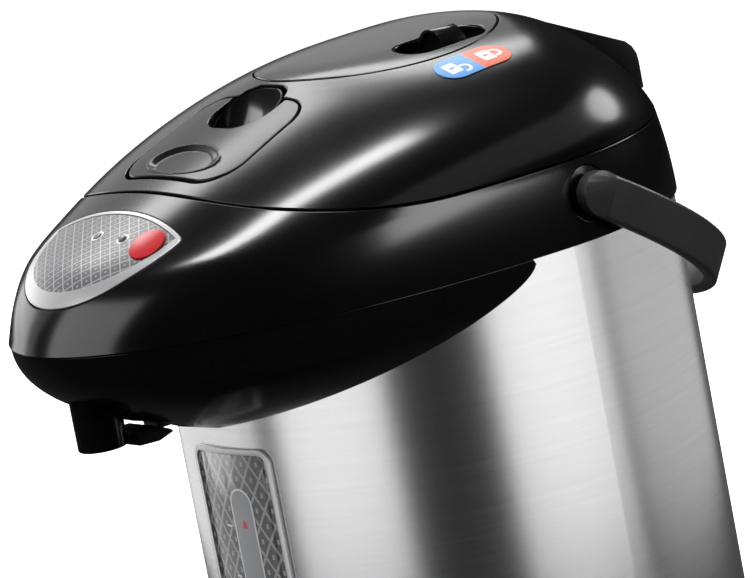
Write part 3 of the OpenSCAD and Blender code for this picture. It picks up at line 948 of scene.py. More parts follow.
class Workshop:
    """Makes the shared effects once and the finishes from them."""

    def __init__(self) -> None:
        """Builds every shared effect."""
        self.made: dict[Finish, bpy.types.Material] = {}
        self.groups = {
            "moulded grain": self.moulded_grain(),
            "brushed grain": self.brushed_grain(),
            "edge wear": self.edge_wear(),
            "settled dust": self.settled_dust(),
            "lattice print": self.lattice_print(),
        }

    @staticmethod
    def group(
        name: str, takes: Sequence[Socket], gives: Sequence[Socket]
    ) -> tuple[Wiring, dict[str, bpy.types.NodeSocket], bpy.types.Node]:
        """Starts a node group.

        Args:
            name: The group's name.
            takes: Its inputs.
            gives: Its outputs.

        Returns:
            The wiring, the input sockets by name, and the output node.
        """
        tree = bpy.data.node_groups.new(name, "ShaderNodeTree")
        for way, sockets in (("INPUT", takes), ("OUTPUT", gives)):
            for s in sockets:
                made = tree.interface.new_socket(name=s.name, in_out=way, socket_type=s.kind)
                if s.value is not None:
                    made.default_value = s.value
        entry = tree.nodes.new("NodeGroupInput")
        out = tree.nodes.new("NodeGroupOutput")
        return Wiring(tree), {s.name: entry.outputs[s.name] for s in takes}, out

    def grain_sockets(self) -> tuple[list[Socket], list[Socket]]:
        """Inputs and outputs that both grains share.

        Returns:
            The inputs and the outputs.
        """
        takes = [Socket("Colour", COLOUR), Socket("Second Colour", COLOUR), Socket("Roughness"),
                 Socket("Spread"), Socket("Scale")]
        return takes, [Socket("Colour", COLOUR), Socket("Roughness"), Socket("Height")]

    def finish_group(self, w: Wiring, out: bpy.types.Node, **results: object) -> bpy.types.NodeTree:
        """Joins results to the group's outputs and gives the group.

        Args:
            w: The group's wiring.
            out: Its output node.
            results: Sockets by the name of the output they feed.

        Returns:
            The group.
        """
        for name, socket in results.items():
            w.tree.links.new(socket, out.inputs[name])
        return w.tree

    def moulded_grain(self) -> bpy.types.NodeTree:
        """Fine spark-eroded grain with slow clouds of colour and gloss.

        Returns:
            The group.
        """
        w, i, out = self.group("moulded grain", *self.grain_sockets())
        at = w.spot()
        fine = w.add("TexNoise", Vector=at, Scale=i["Scale"], Detail=3.0, Roughness=0.6).outputs[0]
        cloud = w.noise(at, w.math("MULTIPLY", i["Scale"], 0.02), 4.0)
        both = w.math("ADD", w.math("MULTIPLY", fine, 0.5), w.math("MULTIPLY", cloud, 0.5))
        rough = w.math("MULTIPLY_ADD", w.math("SUBTRACT", both, 0.5), i["Spread"], i["Roughness"])
        colour = w.mix(w.ramp(cloud, 0.3, 0.7), i["Colour"], i["Second Colour"])
        return self.finish_group(w, out, Colour=colour, Roughness=rough, Height=fine)

    def brushed_grain(self) -> bpy.types.NodeTree:
        """Fine level strokes that run round an upright cylinder.

        Returns:
            The group.
        """
        w, i, out = self.group("brushed grain", *self.grain_sockets())
        at = w.add("SeparateXYZ", Vector=w.spot())
        x, y, z = at.outputs
        angle = w.math("ARCTAN2", x, y)
        spot = w.add("CombineXYZ", X=w.math("MULTIPLY", angle, 1.6), Y=w.math("MULTIPLY", z, i["Scale"]),
                     Z=w.math("MULTIPLY", w.math("ABSOLUTE", angle), 0.7)).outputs[0]
        fine = w.add("TexNoise", Vector=spot, Scale=1.0, Detail=5.0, Roughness=0.7).outputs[0]
        level = w.math("MULTIPLY", z, 90.0)
        band = w.add("TexNoise", {"noise_dimensions": "1D"}, W=level, Detail=3.0).outputs[0]
        both = w.math("ADD", w.math("MULTIPLY", fine, 0.75), w.math("MULTIPLY", band, 0.25))
        rough = w.math("MULTIPLY_ADD", w.math("SUBTRACT", both, 0.5), i["Spread"], i["Roughness"])
        colour = w.mix(w.ramp(both, 0.35, 0.65), i["Colour"], i["Second Colour"])
        return self.finish_group(w, out, Colour=colour, Roughness=rough, Height=fine)

    def edge_wear(self) -> bpy.types.NodeTree:
        """Lighter, handled edges, broken up by a noise.

        Returns:
            The group.
        """
        takes = [Socket("Colour", COLOUR), Socket("Worn Colour", COLOUR), Socket("Amount")]
        w, i, out = self.group("edge wear", takes, [Socket("Colour", COLOUR)])
        noise = w.noise(w.spot(), 260.0, 4.0)
        edge = w.ramp(w.add("NewGeometry").outputs["Pointiness"], 0.515, 0.6)
        share = w.math("MULTIPLY", w.math("MULTIPLY", edge, w.ramp(noise, 0.35, 0.65)), i["Amount"])
        return self.finish_group(w, out, Colour=w.mix(share, i["Colour"], i["Worn Colour"]))

    def settled_dust(self) -> bpy.types.NodeTree:
        """A thin uneven veil on whatever faces up.

        Returns:
            The group.
        """
        takes = [Socket("Colour", COLOUR), Socket("Roughness"), Socket("Amount")]
        w, i, out = self.group("settled dust", takes, [Socket("Colour", COLOUR), Socket("Roughness")])
        noise = w.noise(w.spot(), 48.0, 6.0)
        up = w.ramp(w.add("SeparateXYZ", Vector=w.add("NewGeometry").outputs["Normal"]).outputs[2], 0.2, 1.0)
        share = w.math("MULTIPLY", w.math("MULTIPLY", up, w.ramp(noise, 0.4, 0.75)), i["Amount"])
        rough = w.math("MULTIPLY_ADD", share, 0.6, i["Roughness"])
        colour = w.mix(w.math("MULTIPLY", share, 0.25), i["Colour"], (0.5, 0.49, 0.47))
        return self.finish_group(w, out, Colour=colour, Roughness=rough)

    def lattice_print(self) -> bpy.types.NodeTree:
        """Two crossing sets of thin straight lines with a small dot in every other field.

        Returns:
            The group.
        """
        takes = [Socket("Across"), Socket("Along"), Socket("Pitch"), Socket("Line")]
        w, i, out = self.group("lattice print", takes, [Socket("Mask")])
        u = w.math("DIVIDE", w.math("ADD", i["Across"], i["Along"]), i["Pitch"])
        v = w.math("DIVIDE", w.math("SUBTRACT", i["Across"], i["Along"]), i["Pitch"])
        near = [w.math("ABSOLUTE", w.math("SUBTRACT", w.math("FRACT", s), 0.5)) for s in (u, v)]
        edge = w.math("MAXIMUM", near[0], near[1])
        low = w.math("SUBTRACT", 0.5, i["Line"])
        line = w.math("GREATER_THAN", edge, low)
        dot = w.math("LESS_THAN", w.math("ADD", near[0], near[1]), w.math("MULTIPLY", i["Line"], 2.0))
        return self.finish_group(w, out, Mask=w.math("MAXIMUM", line, dot))

    def place_group(self, w: Wiring, name: str, **inputs: object) -> bpy.types.Node:
        """Places a shared effect in a material.

        Args:
            w: The material's wiring.
            name: The effect's name.
            inputs: Values or sockets for its inputs, by name.

        Returns:
            The group node.
        """
        node = w.add("Group", {"node_tree": self.groups[name]})
        for key, value in inputs.items():
            spot = node.inputs[key.replace("_", " ")]
            if isinstance(value, bpy.types.NodeSocket):
                w.tree.links.new(value, spot)
            else:
                spot.default_value = (*value, 1.0) if isinstance(value, tuple) else value
        return node

    def printed(self, w: Wiring, f: Finish, ground: bpy.types.NodeSocket) -> bpy.types.NodeSocket:
        """Lays a finish's print over its ground colour.

        Args:
            w: The material's wiring.
            f: The finish.
            ground: The colour under the print.

        Returns:
            The printed colour.
        """
        if f.prints is Print.NONE:
            return ground
        x, y, z = w.add("SeparateXYZ", Vector=w.spot()).outputs
        if f.prints is Print.BADGE:
            return w.mix(w.ramp(y, 0.0002, 0.0006), ground, (0.89, 0.145, 0.065))
        if f.prints is Print.PANEL:
            mask = self.place_group(w, "lattice print", Across=x, Along=w.math("MULTIPLY", y, 1.25),
                                    Pitch=0.0062, Line=0.07).outputs[0]
            return w.mix(w.math("MULTIPLY", mask, 0.75), ground, (0.55, 0.55, 0.56))
        around = w.math("MULTIPLY", w.math("ARCTAN2", x, w.math("MULTIPLY", y, -1.0)), 0.1034)
        mask = self.place_group(w, "lattice print", Across=around, Along=w.math("MULTIPLY", z, 0.7),
                                Pitch=0.0085, Line=0.08).outputs[0]
        colour = w.mix(w.math("MULTIPLY", mask, 0.55), ground, (0.42, 0.42, 0.43))
        return colour

    def material(self, f: Finish) -> bpy.types.Material:
        """The material of a finish, made once.

        Args:
            f: The finish.

        Returns:
            The material.
        """
        if f in self.made:
            return self.made[f]
        mat = bpy.data.materials.new(f.slot)
        mat.use_nodes = True
        w = Wiring(mat.node_tree)
        shader = mat.node_tree.nodes["Principled BSDF"]
        grain = self.place_group(w, f.grain.value, Colour=f.colour, Second_Colour=f.second, Roughness=f.rough,
                                 Spread=f.spread, Scale=f.scale)
        colour = self.printed(w, f, grain.outputs["Colour"])
        worn = self.place_group(w, "edge wear", Colour=colour, Worn_Colour=f.worn, Amount=f.wear)
        rough = grain.outputs["Roughness"]
        dust = self.place_group(w, "settled dust", Colour=worn.outputs[0], Roughness=rough, Amount=f.dust)
        links = mat.node_tree.links
        links.new(dust.outputs["Colour"], shader.inputs["Base Color"])
        links.new(dust.outputs["Roughness"], shader.inputs["Roughness"])
        bump = w.add("Bump", Height=grain.outputs["Height"], Distance=f.depth * MM, Strength=1.0)
        links.new(bump.outputs[0], shader.inputs["Normal"])
        shader.inputs["Metallic"].default_value = f.metal
        shader.inputs["Specular IOR Level"].default_value = f.shine
        shader.inputs["Coat Weight"].default_value = f.coat
        shader.inputs["Coat Roughness"].default_value = 0.08
        shader.inputs["Transmission Weight"].default_value = f.clear
        if f.clear:
            shader.inputs["IOR"].default_value = 1.45
        self.made[f] = mat
        return mat

    def dress(self, piece: bpy.types.Object, f: Finish) -> None:
        """Gives a piece one finish and names its slot."""
        piece.data.materials.clear()
        piece.data.materials.append(self.material(f))


GLOSS_BLACK = Finish(
    "black_gloss", (0.004, 0.004, 0.0045), (0.006, 0.006, 0.0065),
    rough=0.18, spread=0.03, scale=700, depth=0.0008, wear=0.1, dust=0.02)
LID_BLACK = Finish(
    "black_gloss", (0.006, 0.006, 0.0065), (0.008, 0.008, 0.0085),
    rough=0.2, spread=0.03, scale=800, depth=0.0008, wear=0.2, dust=0.02)
LEVER_BLACK = Finish(
    "black_gloss", (0.008, 0.008, 0.0085), (0.011, 0.011, 0.0115),
    rough=0.2, spread=0.04, scale=900, depth=0.003, wear=0.3, dust=0.02, shine=0.3)
HANDLE_BLACK = Finish(
    "black_matte", (0.036, 0.036, 0.037), (0.046, 0.046, 0.047),
    rough=0.34, spread=0.08, scale=1100, depth=0.008, wear=0.4)
MATTE_BLACK = Finish(
    "black_matte", (0.018, 0.018, 0.019), (0.025, 0.025, 0.026),
    rough=0.45, spread=0.1, scale=1200, depth=0.02)
STEEL = Finish(
    "brushed_steel", (0.62, 0.62, 0.625), (0.72, 0.72, 0.725),
    rough=0.25, spread=0.1, scale=3200, depth=0.02, metal=1.0, wear=0.0, dust=0.0,
    grain=Grain.BRUSHED)
SILVER = Finish(
    "silver_plastic", (0.6, 0.6, 0.61), (0.68, 0.68, 0.69),
    rough=0.32, spread=0.1, scale=1500, depth=0.006, metal=0.35, wear=0.1)
BRIGHT = Finish(
    "bright_steel", (0.7, 0.7, 0.7), (0.78, 0.78, 0.78),
    rough=0.2, spread=0.1, scale=900, depth=0.002, metal=1.0, wear=0.0)
GREY = Finish(
    "grey_plastic", (0.09, 0.09, 0.093), (0.12, 0.12, 0.123),
    rough=0.4, spread=0.1, scale=900, depth=0.01)
WHITE = Finish(
    "white_plastic", (0.78, 0.78, 0.76), (0.84, 0.84, 0.82),
    rough=0.42, spread=0.1, scale=700, depth=0.01)
MARK_WHITE = Finish(
    "white_plastic", (0.86, 0.86, 0.86), (0.9, 0.9, 0.9),
    rough=0.35, spread=0.05, scale=700, depth=0.0, wear=0.0)
PANEL = Finish(
    "panel_grey", (0.16, 0.16, 0.165), (0.19, 0.19, 0.195),
    rough=0.3, spread=0.06, scale=900, depth=0.004, prints=Print.PANEL)
WINDOW = Finish(
    "window_dark", (0.035, 0.035, 0.037), (0.05, 0.05, 0.052),
    rough=0.15, spread=0.05, scale=600, depth=0.002, prints=Print.WINDOW)
BADGE = Finish(
    "badge_print", (0.075, 0.36, 0.85), (0.09, 0.39, 0.88),
    rough=0.3, spread=0.05, scale=700, depth=0.002, wear=0.0, prints=Print.BADGE)
RED = Finish(
    "red_gloss", (0.6, 0.012, 0.02), (0.68, 0.02, 0.028),
    rough=0.22, spread=0.06, scale=600, depth=0.004, worn=(0.8, 0.3, 0.3))
LENS = Finish(
    "lens_white", (0.22, 0.23, 0.24), (0.3, 0.31, 0.32),
    rough=0.15, spread=0.05, scale=500, depth=0.0, worn=(0.6, 0.6, 0.6))
TUBE = Finish(
    "clear_tube", (0.85, 0.92, 0.94), (0.9, 0.95, 0.96),
    rough=0.05, spread=0.02, scale=300, depth=0.0, clear=1.0, worn=(1, 1, 1), dust=0.0)
SILICONE = Finish(
    "silicone", (0.7, 0.7, 0.67), (0.78, 0.78, 0.75),
    rough=0.5, spread=0.1, scale=500, depth=0.01, worn=(0.8, 0.8, 0.8))
RUBBER = Finish(
    "black_rubber", (0.02, 0.02, 0.02), (0.028, 0.028, 0.028),
    rough=0.7, spread=0.1, scale=900, depth=0.02)
BOARD = Finish(
    "board_green", (0.012, 0.12, 0.05), (0.02, 0.16, 0.07),
    rough=0.4, spread=0.1, scale=400, depth=0.005)
BRASS = Finish(
    "brass", (0.72, 0.5, 0.2), (0.78, 0.56, 0.26),
    rough=0.25, spread=0.1, scale=900, depth=0.002, metal=1.0, worn=(0.9, 0.8, 0.5))
ALU = Finish(
    "alu", (0.55, 0.55, 0.56), (0.64, 0.64, 0.65),
    rough=0.4, spread=0.15, scale=700, depth=0.01, metal=1.0, worn=(0.8, 0.8, 0.8))
MICA = Finish(
    "mica", (0.42, 0.3, 0.16), (0.52, 0.4, 0.24),
    rough=0.45, spread=0.2, scale=180, depth=0.03, worn=(0.7, 0.6, 0.4))
CERAMIC = Finish(
    "ceramic", (0.8, 0.78, 0.7), (0.85, 0.83, 0.77),
    rough=0.5, spread=0.1, scale=400, depth=0.01, worn=(0.9, 0.9, 0.85))
MAGNET = Finish(
    "magnet_grey", (0.08, 0.08, 0.085), (0.12, 0.12, 0.125),
    rough=0.35, spread=0.15, scale=500, depth=0.01, metal=0.8)

BY_SLOT = {
    f.slot: f
    for f in (
        GLOSS_BLACK, MATTE_BLACK, STEEL, SILVER, BRIGHT, GREY, WHITE, PANEL, WINDOW, BADGE, RED, LENS, TUBE,
        SILICONE, RUBBER, BOARD, BRASS, ALU, MICA, CERAMIC, MAGNET)
}


# --- Sub-assemblies ----------------------------------------------------------------------------


@dataclass
class SubAssembly:
    """A group of pieces that share a maker's class. Sizes are fields of each class."""

    shop: Workshop

    def place(self, piece: bpy.types.Object, body: str, finish: Finish, *nodes: str) -> bpy.types.Object:
        """Dresses a piece, lets it ride on its body and stand for its CAD nodes.

        Args:
            piece: The new piece.
            body: The CAD body it moves with.
            finish: Its finish.
            nodes: The CAD nodes it replaces.

        Returns:
            The piece.
        """
        self.shop.dress(piece, finish)
        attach(piece, body)
        if nodes:
            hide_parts(*nodes)
        LOG.info("%s rides on %s", piece.name, body)
        return piece

    def soften(self, node: str, width: float, finish: Optional[Finish] = None, segments: int = 3,
               angle: float = 38.0) -> None:
        """Rounds the edges of a CAD node that stays, and may change its finish.

        Args:
            node: The CAD node.
            width: Width of the rounding in millimetres.
            finish: Another finish than its slot's.
            segments: Steps of the rounding.
            angle: Smallest edge angle in degrees that is rounded.
        """
        piece = frame["nodes"][node]
        piece.data.shade_smooth()
        weld = piece.modifiers.new("weld", "WELD")
        weld.merge_threshold = 0.004 * MM
        bevel = piece.modifiers.new("soft edges", "BEVEL")
        bevel.width, bevel.segments = width * MM, segments
        bevel.limit_method, bevel.angle_limit = "ANGLE", math.radians(angle)
        bevel.harden_normals = True
        if finish is not None:
            self.shop.dress(piece, finish)
        LOG.info("%s softened by %.2f mm", node, width)


@dataclass
class Collar(SubAssembly):
    """The beaked ring that sits on the steel, with the panel's opening and the bail's recesses."""

    recess: tuple[float, float, float] = (12.4, 267.2, 10.6)
    chart: CollarChart = CollarChart()

    def panel_hole(self, grow: float) -> Array:
        """The panel's outline on the collar's map."""
        return self.chart.find(PanelOutline().loop(grow))

    def recess_loop(self, side: int) -> Array:
        """Outline of the round recess in one flank, on the collar's map.

        Args:
            side: 1 for the right flank, -1 for the left.

        Returns:
            The outline on the collar's map.
        """
        y0, z0, r = self.recess
        t = np.linspace(0, 2 * math.pi, 72, endpoint=False)
        y, z = y0 + side * r * np.cos(t), z0 + r * np.sin(t)
        x = np.full(len(t), 102.0)
        for _ in range(30):
            a = np.arctan2(x, HEAD.middle(z) - y)
            x = np.abs(HEAD.radius(a, z) * np.sin(a))
        return self.chart.ring_point(np.arctan2(side * x, HEAD.middle(z) - y), z)

    def build(self) -> None:
        """Builds and dresses the collar."""
        a = np.linspace(0, 2 * math.pi, 420, endpoint=False)
        belt = self.chart.outer * np.stack([np.sin(a), -np.cos(a)], -1)[::1]
        seam = np.stack([np.sin(a), -np.cos(a)], -1)
        holes = [Cut(seam[::-1], 0.5), Cut(self.panel_hole(0.2)[::-1], 0.35)]
        for side in (1, -1):
            loop = self.recess_loop(side)
            holes.append(Cut(as_hole(loop)))
        body = Moulding(self.chart, Cut(belt, 0.4), tuple(holes), 0.017)
        self.place(body.build("head_collar"), "pot", GLOSS_BLACK, "collar")


@dataclass(frozen=True)
class PanelOutline:
    """Half disc of the control panel, bowed a little at its rear, with rounded tips."""

    front: tuple[float, float] = (-126.2, 42.6)
    rear: tuple[float, float] = (-296.0, 170.4)
    tip: float = 2.5
    count: int = 220

    def loop(self, grow: float, shift: float = 0.0) -> Array:
        """The outline, grown by a distance and shifted back, seen from above.

        Args:
            grow: How far the outline is grown.
            shift: How far it is moved back.

        Returns:
            The outline, counter-clockwise.
        """
        inner, outer = [], []
        (y1, r1), (y2, r2) = self.front, self.rear
        r1, r2 = r1 - self.tip, r2 - self.tip
        top = (r1 * r1 - r2 * r2 + y2 * y2 - y1 * y1) / (2 * (y2 - y1))
        half = math.sqrt(r1 * r1 - (top - y1) ** 2)
        a_front = math.atan2(top - y1, half)
        a_rear = math.atan2(top - y2, half)
        front = np.linspace(math.pi - a_front, 2 * math.pi + a_front, self.count)
        rear = np.linspace(a_rear, math.pi - a_rear, 90)
        tip_l = np.linspace(math.pi - a_rear, math.pi - a_front, 10)
        tip_r = np.linspace(a_front, a_rear, 10)
        g = self.tip + grow
        parts = [
            np.stack([(r1 + g) * np.cos(front), y1 + (r1 + g) * np.sin(front)], -1),
            np.stack([half + g * np.cos(tip_r), top + g * np.sin(tip_r)], -1)[1:-1],
            np.stack([(r2 + g) * np.cos(rear), y2 + (r2 + g) * np.sin(rear)], -1),
            np.stack([-half + g * np.cos(tip_l), top + g * np.sin(tip_l)], -1)[1:-1],
        ]
        return np.concatenate(parts) + [0.0, shift]


@dataclass
class ControlPanel(SubAssembly):
    """Silver frame, printed face, two lamps and the red pour button."""

    button: tuple[float, float] = (29.6, -138.6)
    button_hole: tuple[float, float] = (7.7025, 6.909495586)
    frame_width: float = 3.1
    lamps: tuple[float, float] = (-2.0, 14.6)
    lamp_y: float = -139.0
    lamp_hole: tuple[float, float] = (1.6, 1.4)
    ring_inner: tuple[float, float] = (2.0, 1.75)
    ring_outer: tuple[float, float] = (2.8, 2.5)
    ring_lift: float = 0.14

    def build(self) -> None:
        """Builds the frame and the face, and dresses the button and lamps."""
        outline = PanelOutline()
        rim = Moulding(raised(0.25), Cut(outline.loop(0.0), 0.5, 2.2),
                       (Cut(outline.loop(-self.frame_width, 1.3)[::-1], 0.25, 2.2),), 2.2)
        self.place(rim.build("panel_surround"), "pot", SILVER, "panel_frame")
        holes = [Cut(ellipse(*self.button, *self.button_hole)[::-1], 0.3, 2.0)]
        for x in self.lamps:
            holes.append(Cut(ellipse(x, self.lamp_y, *self.lamp_hole, 0.4)[::-1], 0.1, 2.0))
        edge = outline.loop(-self.frame_width - 0.1, 1.3)
        face = Moulding(TopChart(), Cut(edge, 0.2, 2.2), tuple(holes), 2.2)
        self.place(face.build("panel_print"), "pot", PANEL, "panel_face")
        for i, x in enumerate(self.lamps):
            outer = ellipse(x, self.lamp_y, *self.ring_outer, 0.3)
            inner = ellipse(x, self.lamp_y, *self.ring_inner, 0.3)
            bore = Cut(as_hole(inner), 0.03, 0.08)
            ring = Moulding(raised(self.ring_lift), Cut(outer, 0.03, 0.08), (bore,), 1.0)
            self.place(ring.build(f"lamp_ring_{i + 1}"), "pot", MARK_WHITE)
        self.soften("pour_button", 1.1, RED, 5)
        self.soften("indicator_lenses", 0.3, LENS, 3)


@dataclass
class Chin(SubAssembly):
    """The chin under the beak, with the spout and the cup lever's opening."""

    spout: tuple[float, float] = (-156.0, 9.6)
    opening: tuple[float, float, float, float] = (0.0, -131.0, 22.0, 20.0)
    steel: float = 102.75
    chart: ChinChart = ChinChart()

    def build(self) -> None:
        """Builds the chin and dresses spout and cup lever."""
        c = self.chart
        ahead = (c.root + c.nose) ** -2
        level = (self.steel**-2 - ahead) / (c.half**-2 - ahead)
        side = math.asin(math.sqrt(level)) - 0.004
        a = np.linspace(-side, side, 260)
        low = np.stack([a * c.turn, -c.depth_at(a, np.full(len(a), self.steel))], -1)
        top = np.stack([a[::-1] * c.turn, 0 * a], -1)[1:-1]
        outer = np.concatenate([low, top])
        x, y, w, d = self.opening
        spout = c.find(ellipse(0, self.spout[0], self.spout[1], self.spout[1], 0.6))
        slot = c.find(slab_outline(x, y, w, d, 2.0, 0.8))
        holes = tuple(Cut(as_hole(h), 0.5) for h in (spout, slot))
        chin = Moulding(c, Cut(outer, 0.35), holes, 2.2)
        self.place(chin.build("beak_chin"), "pot", GLOSS_BLACK, "chin_cover")
        self.soften("spout", 0.9, GLOSS_BLACK, 4)
        self.soften("cup_lever", 0.7, MATTE_BLACK, 3)


@dataclass
class Lid(SubAssembly):
    """The domed lid with its finger well and hood; its lever, press plate, slider and badge are built by
    their own classes.
    """

    press_r: float = 48.0
    chart: LidChart = LidChart()
    well: tuple[float, float, float, float] = (-63.6, 33.2, 26.0, 13.0)
    floor: float = 297.9

    def shell_hole(self) -> Array:
        """Opening in the shell round the lever and the finger well, seen from above.

        Returns:
            The outline, counter-clockwise.
        """
        return rounded([
            (11.4, -50.4, 8.0), (-11.4, -50.4, 8.0), (-14.6, -56.4, 1.2), (-33.1, -56.4, 12.6),
            (-36.0, -107.8, 16.0), (36.0, -107.8, 16.0), (33.1, -56.4, 12.6), (14.6, -56.4, 1.2)], 0.7)

    def build(self) -> None:
        """Builds the lid's shell and finger bowl, and softens its hood."""
        a = np.linspace(0, 2 * math.pi, 420, endpoint=False)
        edge = np.stack([np.sin(a), -np.cos(a)], -1)
        press = self.chart.find(ellipse(0, 0, self.press_r + 0.45, self.press_r + 0.45, 0.8))
        hole = self.chart.find(fill_in(self.shell_hole(), 0.8))
        cuts = [Cut(as_hole(press), 0.55), Cut(as_hole(hole), 0.7, upright=True)]
        shell = Moulding(self.chart, Cut(edge, 0.6), tuple(cuts), 0.02)
        self.place(shell.build("lid_dome"), "lid", LID_BLACK, "lid_shell")
        self.soften("vent_hood", 0.9, MATTE_BLACK, 4)
        self.build_well()

    def build_well(self) -> None:
        """Builds the glossy bowl for a fingertip, which reaches forward under the lever."""
        y0, w, d, r = self.well
        loop = slab_outline(0, y0, w - 0.3, d - 0.3, r - 0.2, 0.9)
        n = len(loop)
        front = np.clip((y0 + 4 - loop[:, 1]) / 12, 0, 1)
        top = HEAD.height(loop[:, 0], loop[:, 1]) - 0.9 - 2.6 * front
        parts = MeshParts()
        grid = []
        for t in np.linspace(0, 0.5 * math.pi, 26):
            s = max(0.02, math.cos(t) ** 0.55)
            k = math.sin(t) ** 1.15
            q = (loop - [0, y0]) * s + [0, y0] - np.array([0.0, 7.0 * (1 - s ** 2)])
            grid.append(np.column_stack([q, top + (self.floor - top) * k]))
        rows = np.array(grid)
        du = np.roll(rows, -1, 1) - np.roll(rows, 1, 1)
        dv = np.gradient(rows, axis=0)
        normal = unit(np.cross(dv, du))
        ids = [parts.add(rows[k], normal[k]) for k in range(len(rows))]
        for a, b in zip(ids[:-1], ids[1:]):
            parts.strip(a, b)
        under = [parts.add(rows[k] - normal[k] * 1.4, -normal[k]) for k in range(len(rows))]
        for a, b in zip(under[:-1], under[1:]):
            parts.strip(b, a)
        parts.strip(under[0], ids[0])
        parts.faces.append([int(i) for i in ids[-1]])
        parts.faces.append([int(i) for i in under[-1][::-1]])
        self.place(parts.build("finger_bowl"), "lid", GLOSS_BLACK, "finger_well")


@dataclass
class Lever(SubAssembly):
    """The lid's finger lever with its oval dent, lug and pull tab."""

    corners: tuple[tuple[float, float, float], ...] = (
        (17.0, -57.0, 1.5), (17.0, -76.9, 13.3), (-17.0, -76.9, 13.3), (-17.0, -57.0, 1.5),
        (-32.5, -57.0, 12.0), (-35.4, -106.4, 15.4), (35.4, -106.4, 15.4), (32.5, -57.0, 12.0))
    dent: tuple[float, float, float, float] = (0.0, -96.2, 20.0, 8.2)
    dent_depth: float = 1.3
    lip: float = 0.35
    pin: tuple[float, float, float] = (0.0, -101.0, 296.9)

    def sink(self, x: Array, y: Array) -> Array:
        """Depth of the oval dent, a crisp edge round a level floor.

        Args:
            x: Place across the pot.
            y: Place along the pot.

        Returns:
            The lift of the skin, negative in the dent and positive on its lip.
        """
        cx, cy, a, b = self.dent
        e = np.hypot((x - cx) / a, (y - cy) / b)
        t = np.clip((1.0 - e) / 0.2, 0, 1)
        return self.lip * np.exp(-(((e - 1.04) / 0.05) ** 2)) - self.dent_depth * t * t * (3 - 2 * t)

    def build(self) -> None:
        """Builds the lever."""
        loop = rounded(self.corners, 0.8)
        plate = Moulding(TopChart(lift=self.sink), Cut(loop, 0.8), (), 1.5, ((0.0, -96.2, 22.0, 0.6),))
        parts = MeshParts()
        plate.gather(parts)
        x, y, z = self.pin
        add_rod(parts, (x, y, z), 3.4, 14.0)
        add_block(parts, (x, y, z + 1.8), (12, 3, 4))
        add_block(parts, (x, y, z - 7.0), (4, 2.4, 9))
        self.place(parts.build("lid_lever"), "lever", LEVER_BLACK, "release_lever")


def add_rod(parts: MeshParts, centre: Sequence[float], r: float, length: float, sides: int = 40) -> None:
    """Adds a round bar along X with slightly rounded ends.

    Args:
        parts: The mesh to add to.
        centre: Middle of the bar.
        r: Its radius.
        length: Its length.
        sides: Its sides.
    """
    t = np.linspace(0, 2 * math.pi, sides, endpoint=False)
    ring = np.stack([0 * t, np.cos(t), np.sin(t)], -1)
    ids = []
    end, soft = length / 2, 0.4
    for x, s in ((-end, r - soft), (soft - end, r), (end - soft, r), (end, r - soft)):
        ids.append(parts.add(np.array(centre) + ring * s + [x, 0, 0], ring))
    for a, b in zip(ids[:-1], ids[1:]):
        parts.strip(b, a)
    parts.faces += [[int(i) for i in ids[0][::-1]], [int(i) for i in ids[-1]]]


def add_block(parts: MeshParts, centre: Sequence[float], size: Sequence[float]) -> None:
    """Adds a box, face by face so that its edges stay crisp.

    Args:
        parts: The mesh to add to.
        centre: Middle of the box.
        size: Its three sizes.
    """
    for axis in range(3):
        for side in (-1, 1):
            half = np.diag(size) / 2
            u, v = half[(axis + 1) % 3], half[(axis + 2) % 3] * side
            n = np.eye(3)[axis] * side
            face = np.array(centre) + half[axis] * side
            pts = [face + u * i + v * j for i, j in ((-1, -1), (1, -1), (1, 1), (-1, 1))]
            ids = parts.add(np.array(pts), np.tile(n, (4, 1)))
            parts.faces.append([int(i) for i in ids])


@dataclass
class PressPlate(SubAssembly):
    """The round pump plate with its dish, slider and the ring under it."""

    r: float = 48.0
    dish: tuple[float, float, float, float, float] = (31.0, 8.0, 19.0, 39.0, 9.0)
    floor: float = 322.0
    slot: tuple[float, float] = (8.4, 28.0)

    def build(self) -> None:
        """Builds the plate with its dish and dresses the slider."""
        x, y, w, d, r = self.dish
        hole = as_hole(slab_outline(x, y, w, d, r, 0.7))
        plate = Moulding(TopChart(), Cut(ellipse(0, 0, self.r, self.r, 0.8), 0.7),
                         (Cut(hole, 1.0, 0.0, foot=self.floor),), 1.7)
        parts = MeshParts()
        plate.gather(parts)
        slot = as_hole(slab_outline(x, y, self.slot[0], self.slot[1], self.slot[0] / 2 - 0.01, 0.6))
        edge = slab_outline(x, y, w + 0.3, d + 0.3, r + 0.15, 0.7)
        base = Moulding(FlatChart(self.floor + 0.02), Cut(edge, 0.02, 1.8), (Cut(slot, 0.4, 1.8),), 1.6)
        base.gather(parts)
        self.place(parts.build("pump_plate"), "press", LID_BLACK, "press_plate")
        self.soften("lock_knob", 0.45, LID_BLACK, 3)


